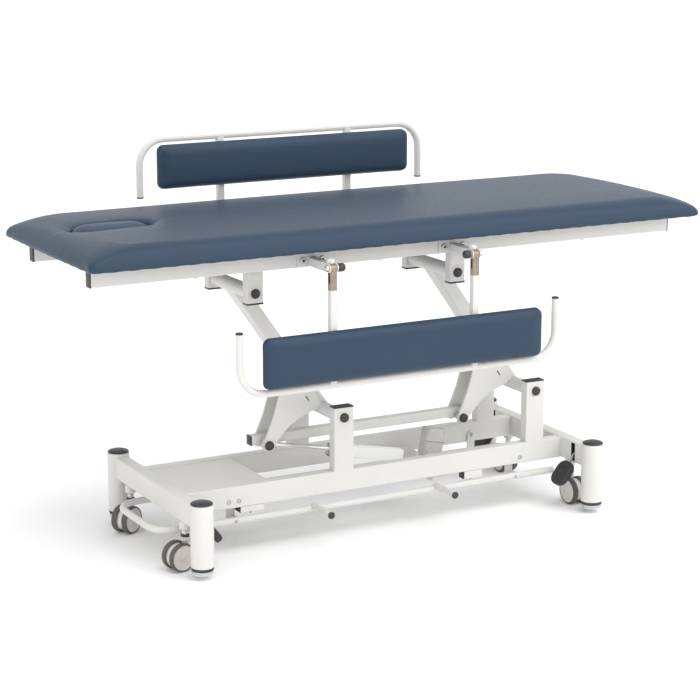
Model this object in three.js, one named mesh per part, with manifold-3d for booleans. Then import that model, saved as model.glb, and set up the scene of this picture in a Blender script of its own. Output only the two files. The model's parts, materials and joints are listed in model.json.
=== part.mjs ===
// Height-adjustable treatment table with two padded folding side rails.
// Millimetres, +Z up. X runs along the table (head end at -X), Y across it.
// Built about the centre of the base, then shifted so that the origin lies under the
// middle of the bounding box, on the floor.
import * as THREE from 'three';
import { mergeVertices } from 'three/addons/utils/BufferGeometryUtils.js';
import Module from 'manifold-3d';

const wasm = await Module();
wasm.setup();

// ---------------------------------------------------------------- driving dimensions
const BASE_CENTRE = [-15, 13.75, 0];  // base centre in the part's frame
const GAP = 0.3;                      // clearance kept between touching pieces

// base
const POST = { x: 635, y: 293, r: 32, ringR: 31, z0: 26.6, ringZ: 34.6, z1: 210, capTop: 223 };
const BEAM = { x: 634.4, half: 20, y: 286, z0: 137, z1: 201 };
const BASE_RAIL = { y0: 122.6, y1: 154.6, z0: 136.5, z1: 198.7, xEnd: 614 };
const TOWER = { x: [-126.6, 521], half: 31.6, top: 381, capTop: 385 };
const TRAY = { x0: -614, x1: -355, y: 122.3, z0: 192.7, thick: 3, lip: 16 };
const FOOT_DISC = { r: 30.5, z0: 14, z1: 26.3, stemR: 14 };

// lift linkage
const PIVOT_Z = 353.2;                // lower arm pivots
const ARM_TOP = [-268.6, 381.6];      // upper pivot from the lower pivot (x, z)
const ARM_LINK = [-179.7, -87.3];     // tie pivot from the lower pivot (x, z)
const ARM = { width: 60, thick: 40, tubeR: 20, lowY: 122.2, topY: 110.8 };
const GUSSET = { y0: 30, y1: 36, tipR: 19 };
const LINK_PIN = { r: 8, y: 38.5 };
const TIE = { y0: -1, y1: 29, tall: 28, rise: 9, left: 37, right: 24 };

// actuator
const ACT = { y: -20, q: [210, 160], rodR: 8.5, rodLength: 300, half: 18.3, bore: 16, mouth: 320 };
const ACT_LEAN = 0.35;                // degrees between the tube and the line of its pivots
const MOTOR = { y0: -60, y1: -20, u0: -22, u1: 44, v0: 14, v1: 93 };
const MOUNT = { x0: 175, x1: 235, y: 140, z0: 117, z1: 136.2 };

// top frame
const TOP_RAIL = { x0: -905.7, x1: 930.6, y0: 196.5, y1: 225, z0: 813, z1: 871.7 };
const CROSS = { half: 25, z0: 815, z1: 870, y: 196.2 };
const BRACKET = { y0: 111.2, y1: 140, half: 25.15, z0: 706 };

// mattress
const MAT = { x0: -950, x1: 980, half: 328, z: 872 };
const HOLE = { x0: -860, x1: -626, half: 58, y: 26 };
const PLUG = { gap: 2, z0: 873, z1: 929 };

// side rails, measured along the arm from its pivot (s) and outward from it (t)
const HINGE = { y: 346, z: 829, x: { near: [-265, 182], far: [-271, 151] } };
const RAIL = {
  near: { x: -44.4, half: 498, capS: 151, barS: 322 },
  far: { x: -63, half: 462.6, capS: 152.4, barS: 318 },
  tubeR: 10.3,
  bend: 75,
  drop: 38,
};
const RAIL_ARM = { half: 10, headEnd: 62, headDeep: 9, slot: 4.3 };
const PAD = {
  near: { x: [-483, 392], s: [167.4, 308] },
  far: { x: [-478.8, 349], s: [174.7, 303.4] },
  t0: 10.6,
  t1: 40,
  corner: 20,
};
const STUB = { half: 12.5, forkHalf: 10.3, forkFrom: 291 };
const PLUNGER = { r: 11.5, from: 17.4, length: 20 };

// castors
const CASTOR = {
  near_head: { x: -640, y: -190, trail: 191 },
  far_head: { x: -640, y: 194, trail: 211 },
  near_foot: { x: 640, y: -172, trail: 270 },
  far_foot: { x: 640, y: 172, trail: 88 },
};
const WHEEL = { r: 40, thick: 18, spacing: 36, trail: 22, axleR: 6 };

// pedals and foot bar
const PEDAL = { y: 222, pivot: [634.4, 180], centre: [578, 108], half: 37, wide: 60, thick: 19 };
const SLOT = { half: 8, z0: 144, z1: 196, deep: 34 };
const FOOT_BAR = { r: 10, y: 150, z: 99, xHead: -705, bend: 70, xFoot: 590 };
const PEGS = { x: [-222, 182], y: 256, z: 106 };
const HANGERS = { near: [-470, 452], far: [-470, 466], half: 12.5, eyeZ: 160 };

// ---------------------------------------------------------------- materials
const looks = {
  paint: { color: 0xe6e5e0, roughness: 0.42, metalness: 0.0 },
  vinyl: { color: 0x4a5a6e, roughness: 0.5, metalness: 0.0 },
  black: { color: 0x2d2d30, roughness: 0.55, metalness: 0.0 },
  rubber: { color: 0x2a2a2c, roughness: 0.85, metalness: 0.0 },
  tyre: { color: 0x6b6a68, roughness: 0.8, metalness: 0.0 },
  steel: { color: 0xb9b4ac, roughness: 0.4, metalness: 0.9 },
  chrome: { color: 0xd5d5d6, roughness: 0.15, metalness: 1.0 },
  clear: { color: 0xd9dbdc, roughness: 0.3, metalness: 0.0 },
  motor: { color: 0xc9c8c4, roughness: 0.5, metalness: 0.0 },
};

const END = { head: -1, foot: 1 };
const SIDE = { near: -1, far: 1 };
const ARC_STEPS = 7;                  // facets in a quarter bend

const table = new THREE.Group();

function put(name, geometry, look) {
  const clean = geometry.clone();
  clean.computeVertexNormals();
  const mesh = new THREE.Mesh(clean, new THREE.MeshStandardMaterial(looks[look]));
  mesh.name = name;
  mesh.position.fromArray(BASE_CENTRE);
  table.add(mesh);
}

// ---------------------------------------------------------------- solids
function toManifold(geometry) {
  const bare = geometry.clone();
  bare.deleteAttribute('normal');
  bare.deleteAttribute('uv');
  const merged = mergeVertices(bare, 1e-4);
  return new wasm.Manifold(new wasm.Mesh({
    numProp: 3,
    vertProperties: new Float32Array(merged.attributes.position.array),
    triVerts: new Uint32Array(merged.index.array),
  }));
}

function toGeometry(solid) {
  const mesh = solid.getMesh();
  const geometry = new THREE.BufferGeometry();
  geometry.setAttribute('position', new THREE.BufferAttribute(mesh.vertProperties, 3));
  geometry.setIndex(new THREE.BufferAttribute(mesh.triVerts, 1));
  return geometry;
}

function join(...parts) {
  return toGeometry(parts.map(toManifold).reduce((a, b) => a.add(b)));
}

function cut(body, ...tools) {
  return toGeometry(tools.map(toManifold).reduce((a, b) => a.subtract(b), toManifold(body)));
}

function roundedRect(u0, u1, v0, v1, r, steps = 3) {
  const shape = new THREE.Shape();
  const corners = [[u1 - r, v1 - r, 0], [u0 + r, v1 - r, 90], [u0 + r, v0 + r, 180], [u1 - r, v0 + r, 270]];
  const points = [];
  for (const [u, v, start] of corners) {
    for (let i = 0; i <= steps; i += 1) {
      const a = THREE.MathUtils.degToRad(start + 90 * i / steps);
      points.push(new THREE.Vector2(u + r * Math.cos(a), v + r * Math.sin(a)));
    }
  }
  shape.setFromPoints(points);
  return shape;
}

const AXES = {
  x: [[0, 1, 0], [0, 0, 1], [1, 0, 0]],
  y: [[0, 0, 1], [1, 0, 0], [0, 1, 0]],
  z: [[1, 0, 0], [0, 1, 0], [0, 0, 1]],
};

function basis(axis) {
  return new THREE.Matrix4().makeBasis(...AXES[axis].map((v) => new THREE.Vector3(...v)));
}

// bar of rounded rectangular section along an axis; x, y and z are [low, high]
function bar(axis, x, y, z, r = 3, steps = 2) {
  const [u, v, w] = { x: [y, z, x], y: [z, x, y], z: [x, y, z] }[axis];
  const shape = roundedRect(u[0], u[1], v[0], v[1], r, steps);
  const solid = new THREE.ExtrudeGeometry(shape, { depth: w[1] - w[0], bevelEnabled: false });
  solid.translate(0, 0, w[0]);
  return solid.applyMatrix4(basis(axis));
}

function box(x, y, z) {
  const solid = new THREE.BoxGeometry(x[1] - x[0], y[1] - y[0], z[1] - z[0]);
  return solid.translate((x[0] + x[1]) / 2, (y[0] + y[1]) / 2, (z[0] + z[1]) / 2);
}

// solid of revolution about an axis through `at`; profile is [radius, along] pairs
function turned(axis, at, profile, segments = 24) {
  const points = profile.map(([r, h]) => new THREE.Vector2(r, h));
  const solid = new THREE.LatheGeometry(points, segments);
  solid.applyMatrix4(new THREE.Matrix4().makeRotationX(Math.PI / 2));
  return solid.applyMatrix4(basis(axis)).translate(...at);
}

function rod(axis, at, r, from, to, segments = 24) {
  return turned(axis, at, [[0, from], [r, from], [r, to], [0, to]], segments);
}

// plate whose outline lies in the XZ plane, from y0 to y1
function plate(points, y0, y1) {
  const shape = new THREE.Shape(points.map(([x, z]) => new THREE.Vector2(x, z)));
  const solid = new THREE.ExtrudeGeometry(shape, { depth: y1 - y0, bevelEnabled: false });
  const upright = new THREE.Matrix4().makeRotationX(Math.PI / 2);
  return solid.applyMatrix4(upright).translate(0, y1, 0);
}

function circlePoints(x, z, r, a0, a1, steps) {
  const points = [];
  for (let i = 0; i <= steps; i += 1) {
    const a = THREE.MathUtils.degToRad(a0 + (a1 - a0) * i / steps);
    points.push([x + r * Math.cos(a), z + r * Math.sin(a)]);
  }
  return points;
}

// straight runs joined by round bends, swept with a round section
function bentTube(corners, bend, r, sides = 12) {
  const path = new THREE.CurvePath();
  let from = corners[0];
  for (let i = 1; i < corners.length - 1; i += 1) {
    const before = corners[i - 1].clone().sub(corners[i]).setLength(bend).add(corners[i]);
    const after = corners[i + 1].clone().sub(corners[i]).setLength(bend).add(corners[i]);
    path.add(new THREE.LineCurve3(from, before));
    path.add(arc(before, corners[i], after));
    from = after;
  }
  path.add(new THREE.LineCurve3(from, corners[corners.length - 1]));
  const points = [];
  for (const curve of path.curves) {
    const steps = curve instanceof THREE.LineCurve3 ? 1 : ARC_STEPS;
    for (let i = points.length ? 1 : 0; i <= steps; i += 1) {
      points.push(curve.getPoint(i / steps));
    }
  }
  return sweep(points, r, sides);
}

// quarter of a circle between two straight runs that meet at `corner`
function arc(before, corner, after) {
  const centre = before.clone().add(after).sub(corner);
  const points = [];
  for (let i = 0; i <= ARC_STEPS; i += 1) {
    const a = Math.PI / 2 * i / ARC_STEPS;
    const p = centre.clone();
    p.addScaledVector(before.clone().sub(centre), Math.cos(a));
    p.addScaledVector(after.clone().sub(centre), Math.sin(a));
    points.push(p);
  }
  const curve = new THREE.CatmullRomCurve3(points);
  curve.getPoint = (t) => points[Math.round(t * ARC_STEPS)];
  return curve;
}

// round section carried along a planar polyline, mitred at every point and closed at both ends
function sweep(points, r, sides) {
  const vertices = [];
  const faces = [];
  const normal = planeNormal(points);
  points.forEach((p, i) => {
    const back = points[Math.max(i - 1, 0)];
    const next = points[Math.min(i + 1, points.length - 1)];
    const inDir = (i ? p.clone().sub(back) : next.clone().sub(p)).normalize();
    const outDir = (i < points.length - 1 ? next.clone().sub(p) : p.clone().sub(back)).normalize();
    const dir = inDir.clone().add(outDir).normalize();
    const side = new THREE.Vector3().crossVectors(normal, dir);
    const stretch = 1 / Math.max(dir.dot(inDir), 0.5);
    for (let k = 0; k < sides; k += 1) {
      const a = 2 * Math.PI * k / sides;
      const v = p.clone();
      v.addScaledVector(side, r * Math.cos(a) * stretch);
      v.addScaledVector(normal, r * Math.sin(a));
      vertices.push(v.x, v.y, v.z);
    }
  });
  for (let i = 0; i < points.length - 1; i += 1) {
    for (let k = 0; k < sides; k += 1) {
      const a = i * sides + k;
      const b = i * sides + (k + 1) % sides;
      faces.push(a, a + sides, b, b, a + sides, b + sides);
    }
  }
  const last = (points.length - 1) * sides;
  for (let k = 1; k < sides - 1; k += 1) {
    faces.push(0, k, k + 1, last, last + k + 1, last + k);
  }
  return outward(vertices, faces);
}

function planeNormal(points) {
  const first = points[1].clone().sub(points[0]).normalize();
  for (let i = 2; i < points.length; i += 1) {
    const turn = first.clone().cross(points[i].clone().sub(points[i - 1]).normalize());
    if (turn.length() > 0.1) {
      return turn.normalize();
    }
  }
  return new THREE.Vector3(0, 0, 1);
}

// closed shell from raw vertices and faces, turned inside out if its volume comes out negative
function outward(vertices, faces) {
  let volume = 0;
  const p = (i) => new THREE.Vector3(vertices[3 * i], vertices[3 * i + 1], vertices[3 * i + 2]);
  for (let i = 0; i < faces.length; i += 3) {
    volume += p(faces[i]).dot(p(faces[i + 1]).cross(p(faces[i + 2])));
  }
  if (volume < 0) {
    for (let i = 0; i < faces.length; i += 3) {
      [faces[i + 1], faces[i + 2]] = [faces[i + 2], faces[i + 1]];
    }
  }
  const geometry = new THREE.BufferGeometry();
  geometry.setAttribute('position', new THREE.Float32BufferAttribute(vertices, 3));
  geometry.setIndex(faces);
  return geometry;
}

// ---------------------------------------------------------------- base
function endBeam(end) {
  const s = END[end];
  const x = [s * BEAM.x - BEAM.half, s * BEAM.x + BEAM.half];
  const hollow = POST.r + 0.35;
  const cutters = [];
  for (const side of [-1, 1]) {
    cutters.push(rod('z', [s * POST.x, side * POST.y, 0], hollow, 100, 240, 20));
    const xs = [s * (BEAM.x - BEAM.half - 2), s * (BEAM.x - BEAM.half + SLOT.deep)].sort((a, b) => a - b);
    const ys = [side * PEDAL.y - SLOT.half, side * PEDAL.y + SLOT.half];
    cutters.push(box(xs, ys, [SLOT.z0, SLOT.z1]));
  }
  const beam = bar('y', x, [-BEAM.y, BEAM.y], [BEAM.z0, BEAM.z1], 4);
  put(`end_beam_${end}`, cut(beam, ...cutters), 'paint');
}

function post(end, side) {
  const at = [END[end] * POST.x, SIDE[side] * POST.y, 0];
  const tube = turned('z', at, [
    [0, POST.z0 + 30], [15, POST.z0 + 30], [15, POST.z0], [POST.ringR, POST.z0],
    [POST.ringR, POST.ringZ], [POST.r, POST.ringZ], [POST.r, POST.z1],
    [POST.r - 1, POST.z1 + 3], [POST.r - 10, POST.capTop - 4], [0, POST.capTop],
  ], 20);
  put(`post_${side}_${end}`, tube, 'paint');
}

function levellingFoot(end, side) {
  const at = [END[end] * POST.x, SIDE[side] * POST.y, 0];
  const disc = turned('z', at, [
    [0, FOOT_DISC.z0], [FOOT_DISC.r - 4, FOOT_DISC.z0], [FOOT_DISC.r, FOOT_DISC.z0 + 4],
    [FOOT_DISC.r, FOOT_DISC.z1], [FOOT_DISC.stemR, FOOT_DISC.z1],
    [FOOT_DISC.stemR, FOOT_DISC.z1 + 27], [0, FOOT_DISC.z1 + 27],
  ], 20);
  put(`foot_${side}_${end}`, disc, 'clear');
}

function baseSide(side) {
  const s = SIDE[side];
  const y = [s * BASE_RAIL.y0, s * BASE_RAIL.y1].sort((a, b) => a - b);
  const parts = [bar('x', [-BASE_RAIL.xEnd, BASE_RAIL.xEnd], y, [BASE_RAIL.z0, BASE_RAIL.z1], 3)];
  for (const x of TOWER.x) {
    const tower = [x - TOWER.half, x + TOWER.half];
    parts.push(bar('z', tower, y, [BASE_RAIL.z1 - 5, TOWER.top], 3));
    parts.push(bar('z', [tower[0] + 1, tower[1] - 1], [y[0] + 1, y[1] - 1], [TOWER.top - 1, TOWER.capTop], 3));
  }
  put(`base_side_${side}`, join(...parts), 'paint');
}

function tray() {
  const top = TRAY.z0 + TRAY.thick;
  const sheet = box([TRAY.x0, TRAY.x1], [-TRAY.y, TRAY.y], [TRAY.z0, top]);
  const inside = BASE_RAIL.y0 - 1;
  const lip = box([TRAY.x1 - 3, TRAY.x1], [-inside, inside], [TRAY.z0 - TRAY.lip, TRAY.z0 + 1]);
  put('tray', join(sheet, lip), 'paint');
}

function actuatorMount() {
  const [qx, qz] = ACT.q;
  const parts = [bar('y', [MOUNT.x0, MOUNT.x1], [-MOUNT.y, MOUNT.y], [MOUNT.z0, MOUNT.z1], 3)];
  const outline = [
    [qx - 22, MOUNT.z1 - 4], [qx + 22, MOUNT.z1 - 4],
    ...circlePoints(qx, qz, 10, -20, 200, 10),
  ];
  for (const [y0, y1] of [[ACT.y - 16.5, ACT.y - 12.5], [ACT.y + 10.5, ACT.y + 14.5]]) {
    parts.push(plate(outline, y0, y1));
  }
  parts.push(rod('y', [qx, 0, qz], 5, ACT.y - 19, ACT.y + 17, 16));
  put('actuator_mount', join(...parts), 'paint');
}

// ---------------------------------------------------------------- lift linkage
function offset(point, [x, z]) {
  return [point[0] + x, point[1] + z];
}

function liftArm(end, x) {
  const low = [x, PIVOT_Z];
  const top = offset(low, ARM_TOP);
  const link = offset(low, ARM_LINK);
  const length = Math.hypot(...ARM_TOP);
  const beam = bar('x', [0, length], [-ARM.width / 2, ARM.width / 2], [-ARM.thick / 2, ARM.thick / 2], 4);
  beam.rotateY(-Math.atan2(ARM_TOP[1], ARM_TOP[0]));
  beam.translate(low[0], 0, low[1]);
  const outline = [
    ...circlePoints(link[0], link[1], GUSSET.tipR, 182, 332, 6),
    ...[[-153, -79], [-116, -40], [-79, -17], [-27, 2], [-8, 14], [-62, 96], [-132, 158]].map((p) => offset(low, p)),
    ...[[-146, 52], [-163, -6], [-182, -51]].map((p) => offset(low, p)),
  ];
  const parts = [
    beam,
    rod('y', [low[0], 0, low[1]], ARM.tubeR, -ARM.lowY, ARM.lowY, 20),
    rod('y', [top[0], 0, top[1]], ARM.tubeR, -ARM.topY, ARM.topY, 20),
    rod('y', [link[0], 0, link[1]], LINK_PIN.r, -LINK_PIN.y, LINK_PIN.y, 12),
    plate(outline, GUSSET.y0 - 0.5, GUSSET.y1),
    plate(outline, -GUSSET.y1, -GUSSET.y0 + 0.5),
  ];
  put(`lift_arm_${end}`, join(...parts), 'paint');
}

function linkPivots() {
  return TOWER.x.map((x) => offset([x, PIVOT_Z], ARM_LINK));
}

function tieBar() {
  const [head, foot] = linkPivots();
  const z = head[1] + TIE.rise;
  const y = [TIE.y0, TIE.y1];
  const body = bar('x', [head[0] - TIE.left, foot[0] + TIE.right], y, [z - TIE.tall / 2, z + TIE.tall / 2], 3);
  const holes = [head, foot].map((p) => rod('y', [p[0], 0, p[1]], LINK_PIN.r + 0.5, -10, 40, 16));
  put('tie_bar', cut(body, ...holes), 'paint');
}

// ---------------------------------------------------------------- actuator
function actuatorAngle() {
  const [head] = linkPivots();
  const [qx, qz] = ACT.q;
  return Math.atan2(qz - head[1], qx - head[0]) + THREE.MathUtils.degToRad(ACT_LEAN);
}

// geometry built with u along the actuator from `at` and v square to it, in the XZ plane
function alongActuator(geometry, at) {
  return geometry.rotateY(-actuatorAngle()).translate(at[0], ACT.y, at[1]);
}

function actuatorTube() {
  const h = ACT.half;
  const tube = bar('x', [-ACT.mouth, -34], [-17, 17], [-h, h], 5, 3);
  const bore = bar('x', [-ACT.mouth - 1, -44], [-10.5, 10.5], [-ACT.bore, ACT.bore], 3);
  const tongue = plate([
    [-46, -9], ...circlePoints(0, 0, 9, -90, 90, 8), [-8, 13.7], [-46, 13.7],
  ], -8, 7);
  const eye = rod('y', [0, 0, 0], 5.6, -20, 20, 16);
  const body = cut(join(cut(tube, bore), tongue), eye);
  put('actuator_tube', alongActuator(body, ACT.q), 'paint');
}

function actuatorMotor() {
  const y = [MOTOR.y0 - ACT.y, MOTOR.y1 - ACT.y];
  const body = bar('z', [MOTOR.u0, MOTOR.u1], y, [MOTOR.v0, MOTOR.v1], 9, 4);
  const chamfer = plate([[MOTOR.u0 - 1, MOTOR.v1 + 1], [MOTOR.u0 - 1, MOTOR.v1 - 9], [MOTOR.u0 + 9, MOTOR.v1 + 1]],
    y[0] - 1, y[1] + 1);
  put('actuator_motor', alongActuator(cut(body, chamfer), ACT.q), 'motor');
}

function actuatorRod() {
  const [head] = linkPivots();
  const shaft = rod('x', [0, 0, 0], ACT.rodR, 8, ACT.rodLength, 20);
  const eye = rod('y', [0, 0, 0], 15, -8.5, 8.5, 24);
  const hole = rod('y', [0, 0, 0], LINK_PIN.r + 0.5, -12, 12, 16);
  put('actuator_rod', alongActuator(cut(join(shaft, eye), hole), head), 'chrome');
}

// ---------------------------------------------------------------- top frame
function topRail(side) {
  const s = SIDE[side];
  const y = [s * TOP_RAIL.y0, s * TOP_RAIL.y1].sort((a, b) => a - b);
  put(`top_rail_${side}`, bar('x', [TOP_RAIL.x0, TOP_RAIL.x1], y, [TOP_RAIL.z0, TOP_RAIL.z1], 3), 'paint');
}

function crossMember(end, x) {
  const parts = [bar('y', [x - CROSS.half, x + CROSS.half], [-CROSS.y, CROSS.y], [CROSS.z0, CROSS.z1], 3)];
  for (const s of [-1, 1]) {
    const y = [s * BRACKET.y0, s * BRACKET.y1].sort((a, b) => a - b);
    parts.push(bar('z', [x - BRACKET.half, x + BRACKET.half], y, [BRACKET.z0, CROSS.z0 + 5], 3));
  }
  put(`cross_member_${end}`, join(...parts), 'paint');
}

// cushion edge, from the underside round to the crown:
// [inset from the long sides, inset from the ends, height, radius of the corners]
const MAT_EDGE = [
  [20, 20, 0, 12], [7, 7, 1.2, 18], [2, 2, 5, 22], [0, 0, 11, 25], [1.5, 2, 19, 28], [6, 8, 25.5, 32],
  [16, 26, 35.5, 42], [28.5, 53, 45.5, 54], [44, 86, 54.5, 65], [72, 124, 59.2, 72],
  [150, 205, 62, 66], [260, 310, 63.5, 30],
];

function mattressRing([side, end, , r]) {
  const cx = (MAT.x0 + MAT.x1) / 2;
  const half = (MAT.x1 - MAT.x0) / 2 - end;
  const wide = MAT.half - side;
  const bulge = 6 * Math.max(1 - end / 120, 0);
  const ring = [];
  const corners = [[1, 1, 0], [-1, 1, 90], [-1, -1, 180], [1, -1, 270]];
  for (const [sx, sy, start] of corners) {
    for (let i = 0; i <= 5; i += 1) {
      const a = THREE.MathUtils.degToRad(start + 90 * i / 5);
      const x = sx * (half - bulge - r) + r * Math.cos(a);
      const y = sy * (wide - r) + r * Math.sin(a);
      ring.push([cx + x, y]);
    }
    ring.push(...endArc(cx, sx, sy, half, wide, r, bulge));
  }
  return ring;
}

// the two ends swell outward a little between their corners
function endArc(cx, sx, sy, half, wide, r, bulge) {
  if (sx * sy > 0) {
    return [[cx, sy * wide]];
  }
  const points = [];
  for (let i = 1; i < 6; i += 1) {
    const y = sy * (wide - r) * (1 - i / 3);
    const swell = bulge * (1 - (y / (wide - r)) ** 2);
    points.push([cx + sx * (half - bulge + swell), y]);
  }
  return points;
}

function mattress() {
  const rings = MAT_EDGE.map(mattressRing);
  const n = rings[0].length;
  const vertices = [];
  const faces = [];
  rings.forEach((ring, k) => {
    ring.forEach(([x, y]) => vertices.push(x, y, MAT.z + MAT_EDGE[k][2]));
  });
  for (let k = 0; k < rings.length - 1; k += 1) {
    for (let i = 0; i < n; i += 1) {
      const a = k * n + i;
      const b = k * n + (i + 1) % n;
      faces.push(a, b, b + n, a, b + n, a + n);
    }
  }
  const flat = rings[0].map(([x, y]) => new THREE.Vector2(x, y));
  for (const [a, b, c] of THREE.ShapeUtils.triangulateShape(flat, [])) {
    faces.push(a, c, b);
  }
  const crown = (rings.length - 1) * n;
  const inner = rings[rings.length - 1].map(([x, y]) => new THREE.Vector2(x, y));
  for (const [a, b, c] of THREE.ShapeUtils.triangulateShape(inner, [])) {
    faces.push(crown + a, crown + b, crown + c);
  }
  put('mattress', cut(outward(vertices, faces), facePrism(0, MAT.z - 5, MAT.z + 80)), 'vinyl');
}

function facePrism(gap, z0, z1) {
  const r = HOLE.half - gap;
  const shape = roundedRect(HOLE.x0 + gap, HOLE.x1 - gap, HOLE.y - r, HOLE.y + r, r - 1, 6);
  return new THREE.ExtrudeGeometry(shape, { depth: z1 - z0, bevelEnabled: false }).translate(0, 0, z0);
}

function facePlug() {
  const r = HOLE.half - PLUG.gap;
  const rise = 5;
  const shape = roundedRect(HOLE.x0 + PLUG.gap + rise, HOLE.x1 - PLUG.gap - rise,
    HOLE.y - r + rise, HOLE.y + r - rise, r - rise - 1, 6);
  const solid = new THREE.ExtrudeGeometry(shape, {
    depth: PLUG.z1 - PLUG.z0 - 2 * rise, bevelSize: rise, bevelThickness: rise, bevelSegments: 2,
  });
  put('face_plug', solid.translate(0, 0, PLUG.z0 + rise), 'vinyl');
}

// ---------------------------------------------------------------- side rails
function hingeStub(side, end, x) {
  const s = SIDE[side];
  const span = (a, b) => [s * a, s * b].sort((p, q) => p - q);
  const z = HINGE.z;
  const flange = box([x - 46, x + 46], span(TOP_RAIL.y1 + GAP, TOP_RAIL.y1 + 4.5), [815, 869]);
  const tube = bar('y', [x - STUB.half, x + STUB.half], span(TOP_RAIL.y1 + 3, HINGE.y), [z - 12.5, z + 12.5], 2);
  const nose = rod('x', [0, s * HINGE.y, z], 12.5, x - STUB.half, x + STUB.half, 16);
  const fork = box([x - STUB.forkHalf, x + STUB.forkHalf], span(STUB.forkFrom, HINGE.y + 20), [z - 20, z + 20]);
  const bore = rod('x', [0, s * HINGE.y, z], 4.5, x - 30, x + 30, 10);
  put(`hinge_stub_${side}_${end}`, cut(join(flange, tube, nose), fork, bore), 'paint');
}

// maps arm coordinates (x, outward t, distance from pivot s) into the table
function railPlacement(side) {
  const s = SIDE[side];
  const raised = side === 'far';
  const matrix = new THREE.Matrix4();
  const up = raised ? 1 : -1;
  const out = raised ? -s : s;
  matrix.makeBasis(new THREE.Vector3(1, 0, 0), new THREE.Vector3(0, out, 0), new THREE.Vector3(0, 0, up));
  const drop = raised ? RAIL.drop : 0;
  matrix.setPosition(0, s * HINGE.y, HINGE.z - drop);
  return { matrix, mirrored: out * up < 0 };
}

function place(geometry, side) {
  const { matrix, mirrored } = railPlacement(side);
  const placed = geometry.clone().applyMatrix4(matrix);
  if (mirrored) {
    const index = placed.index.array;
    for (let i = 0; i < index.length; i += 3) {
      [index[i + 1], index[i + 2]] = [index[i + 2], index[i + 1]];
    }
  }
  return placed;
}

function railFrame(side) {
  const v = (x, s) => new THREE.Vector3(x, 0, s);
  const { x: middle, half, capS, barS } = RAIL[side];
  const left = middle - half;
  const right = middle + half;
  const line = [v(left, capS), v(left, barS), v(right, barS), v(right, capS)];
  const parts = [bentTube(line, RAIL.bend, RAIL.tubeR, 12)];
  const slots = [];
  for (const x of HINGE.x[side]) {
    const h = RAIL_ARM.half;
    const d = RAIL_ARM.headDeep;
    parts.push(bar('z', [x - h, x + h], [-h, h], [RAIL_ARM.headEnd, barS], 2));
    parts.push(bar('z', [x - h, x + h], [-d, d], [0, RAIL_ARM.headEnd + 1], 1.5));
    parts.push(rod('x', [0, 0, 0], d, x - h, x + h, 16));
    const slot = RAIL_ARM.slot;
    slots.push(bar('x', [x - 15, x + 15], [-slot, slot], [-slot, RAIL.drop + slot], slot - 0.1, 3));
  }
  const frame = cut(join(...parts), ...slots);
  put(`rail_frame_${side}`, place(frame, side), 'paint');
}

function railPad(side) {
  const rise = 9;
  const { x: [x0, x1], s: [s0, s1] } = PAD[side];
  const shape = roundedRect(x0 + rise, x1 - rise, s0 + rise, s1 - rise, PAD.corner - rise, 4);
  const solid = new THREE.ExtrudeGeometry(shape, {
    depth: PAD.t1 - PAD.t0 - 2 * rise, bevelSize: rise, bevelThickness: rise, bevelSegments: 3,
  });
  solid.translate(0, 0, PAD.t0 + rise);
  const flat = new THREE.Matrix4().makeBasis(
    new THREE.Vector3(1, 0, 0), new THREE.Vector3(0, 0, 1), new THREE.Vector3(0, 1, 0));
  const turnedPad = toGeometryFlipped(solid.applyMatrix4(flat));
  put(`rail_pad_${side}`, place(turnedPad, side), 'vinyl');
}

// an indexed copy with its faces turned over, after a mirroring change of axes
function toGeometryFlipped(geometry) {
  const bare = geometry.clone();
  bare.deleteAttribute('normal');
  bare.deleteAttribute('uv');
  const merged = mergeVertices(bare, 1e-4);
  const index = merged.index.array;
  for (let i = 0; i < index.length; i += 3) {
    [index[i + 1], index[i + 2]] = [index[i + 2], index[i + 1]];
  }
  return merged;
}

function hingePin(side, end, x) {
  const outer = END[end];
  const at = [x, SIDE[side] * HINGE.y, HINGE.z];
  const profile = [
    [0, 22], [8.5, 20.5], [8.5, 12.8], [4, 12.8], [4, -12.8], [7.5, -12.8], [7.5, -17], [0, -17],
  ].map(([r, h]) => [r, outer * h]);
  put(`hinge_pin_${side}_${end}`, ordered(profile, at), 'steel');
}

// profile read in the direction that makes the turned solid face outward
function ordered(profile, at) {
  const points = profile[0][1] > profile[profile.length - 1][1] ? [...profile].reverse() : profile;
  return turned('x', at, points, 12);
}

function plunger(side, end, x) {
  const outer = END[end];
  const at = [x, SIDE[side] * HINGE.y, HINGE.z];
  const from = PLUNGER.from;
  const to = PLUNGER.from + PLUNGER.length;
  const profile = [
    [0, from], [PLUNGER.r, from], [PLUNGER.r, to - 5], [7, to - 1], [0, to],
  ].map(([r, h]) => [r, -outer * h]);
  put(`plunger_${side}_${end}`, ordered(profile, at), 'black');
}

// ---------------------------------------------------------------- castors
function turnTo(geometry, castor) {
  return geometry.rotateZ(THREE.MathUtils.degToRad(castor.trail)).translate(castor.x, castor.y, 0);
}

function castorStem(name, castor) {
  const collar = turned('z', [castor.x, castor.y, 0], [
    [0, 99.6], [8, 99.6], [8, 115], [15.5, 115], [15.5, BEAM.z0 - GAP], [0, BEAM.z0 - GAP],
  ], 16);
  put(`castor_stem_${name}`, collar, 'paint');
}

function castorFork(name, castor) {
  const axle = WHEEL.r;
  const half = WHEEL.spacing / 2 - WHEEL.thick / 2 - 0.6;
  const hood = rod('y', [WHEEL.trail, 0, axle], 35, -half, half, 20);
  const block = box([-9, WHEEL.trail], [-half, half], [52, 84]);
  const neck = turned('z', [0, 0, 0], [[0, 82], [12, 82], [10, 99.3], [0, 99.3]], 14);
  const mouth = box([WHEEL.trail - 50, WHEEL.trail + 50], [-20, 20], [-10, 14]);
  const bore = rod('y', [WHEEL.trail, 0, axle], WHEEL.axleR + 0.5, -20, 20, 12);
  const body = cut(join(hood, block, neck), mouth, bore);
  put(`castor_fork_${name}`, turnTo(body, castor), 'motor');
}

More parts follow.
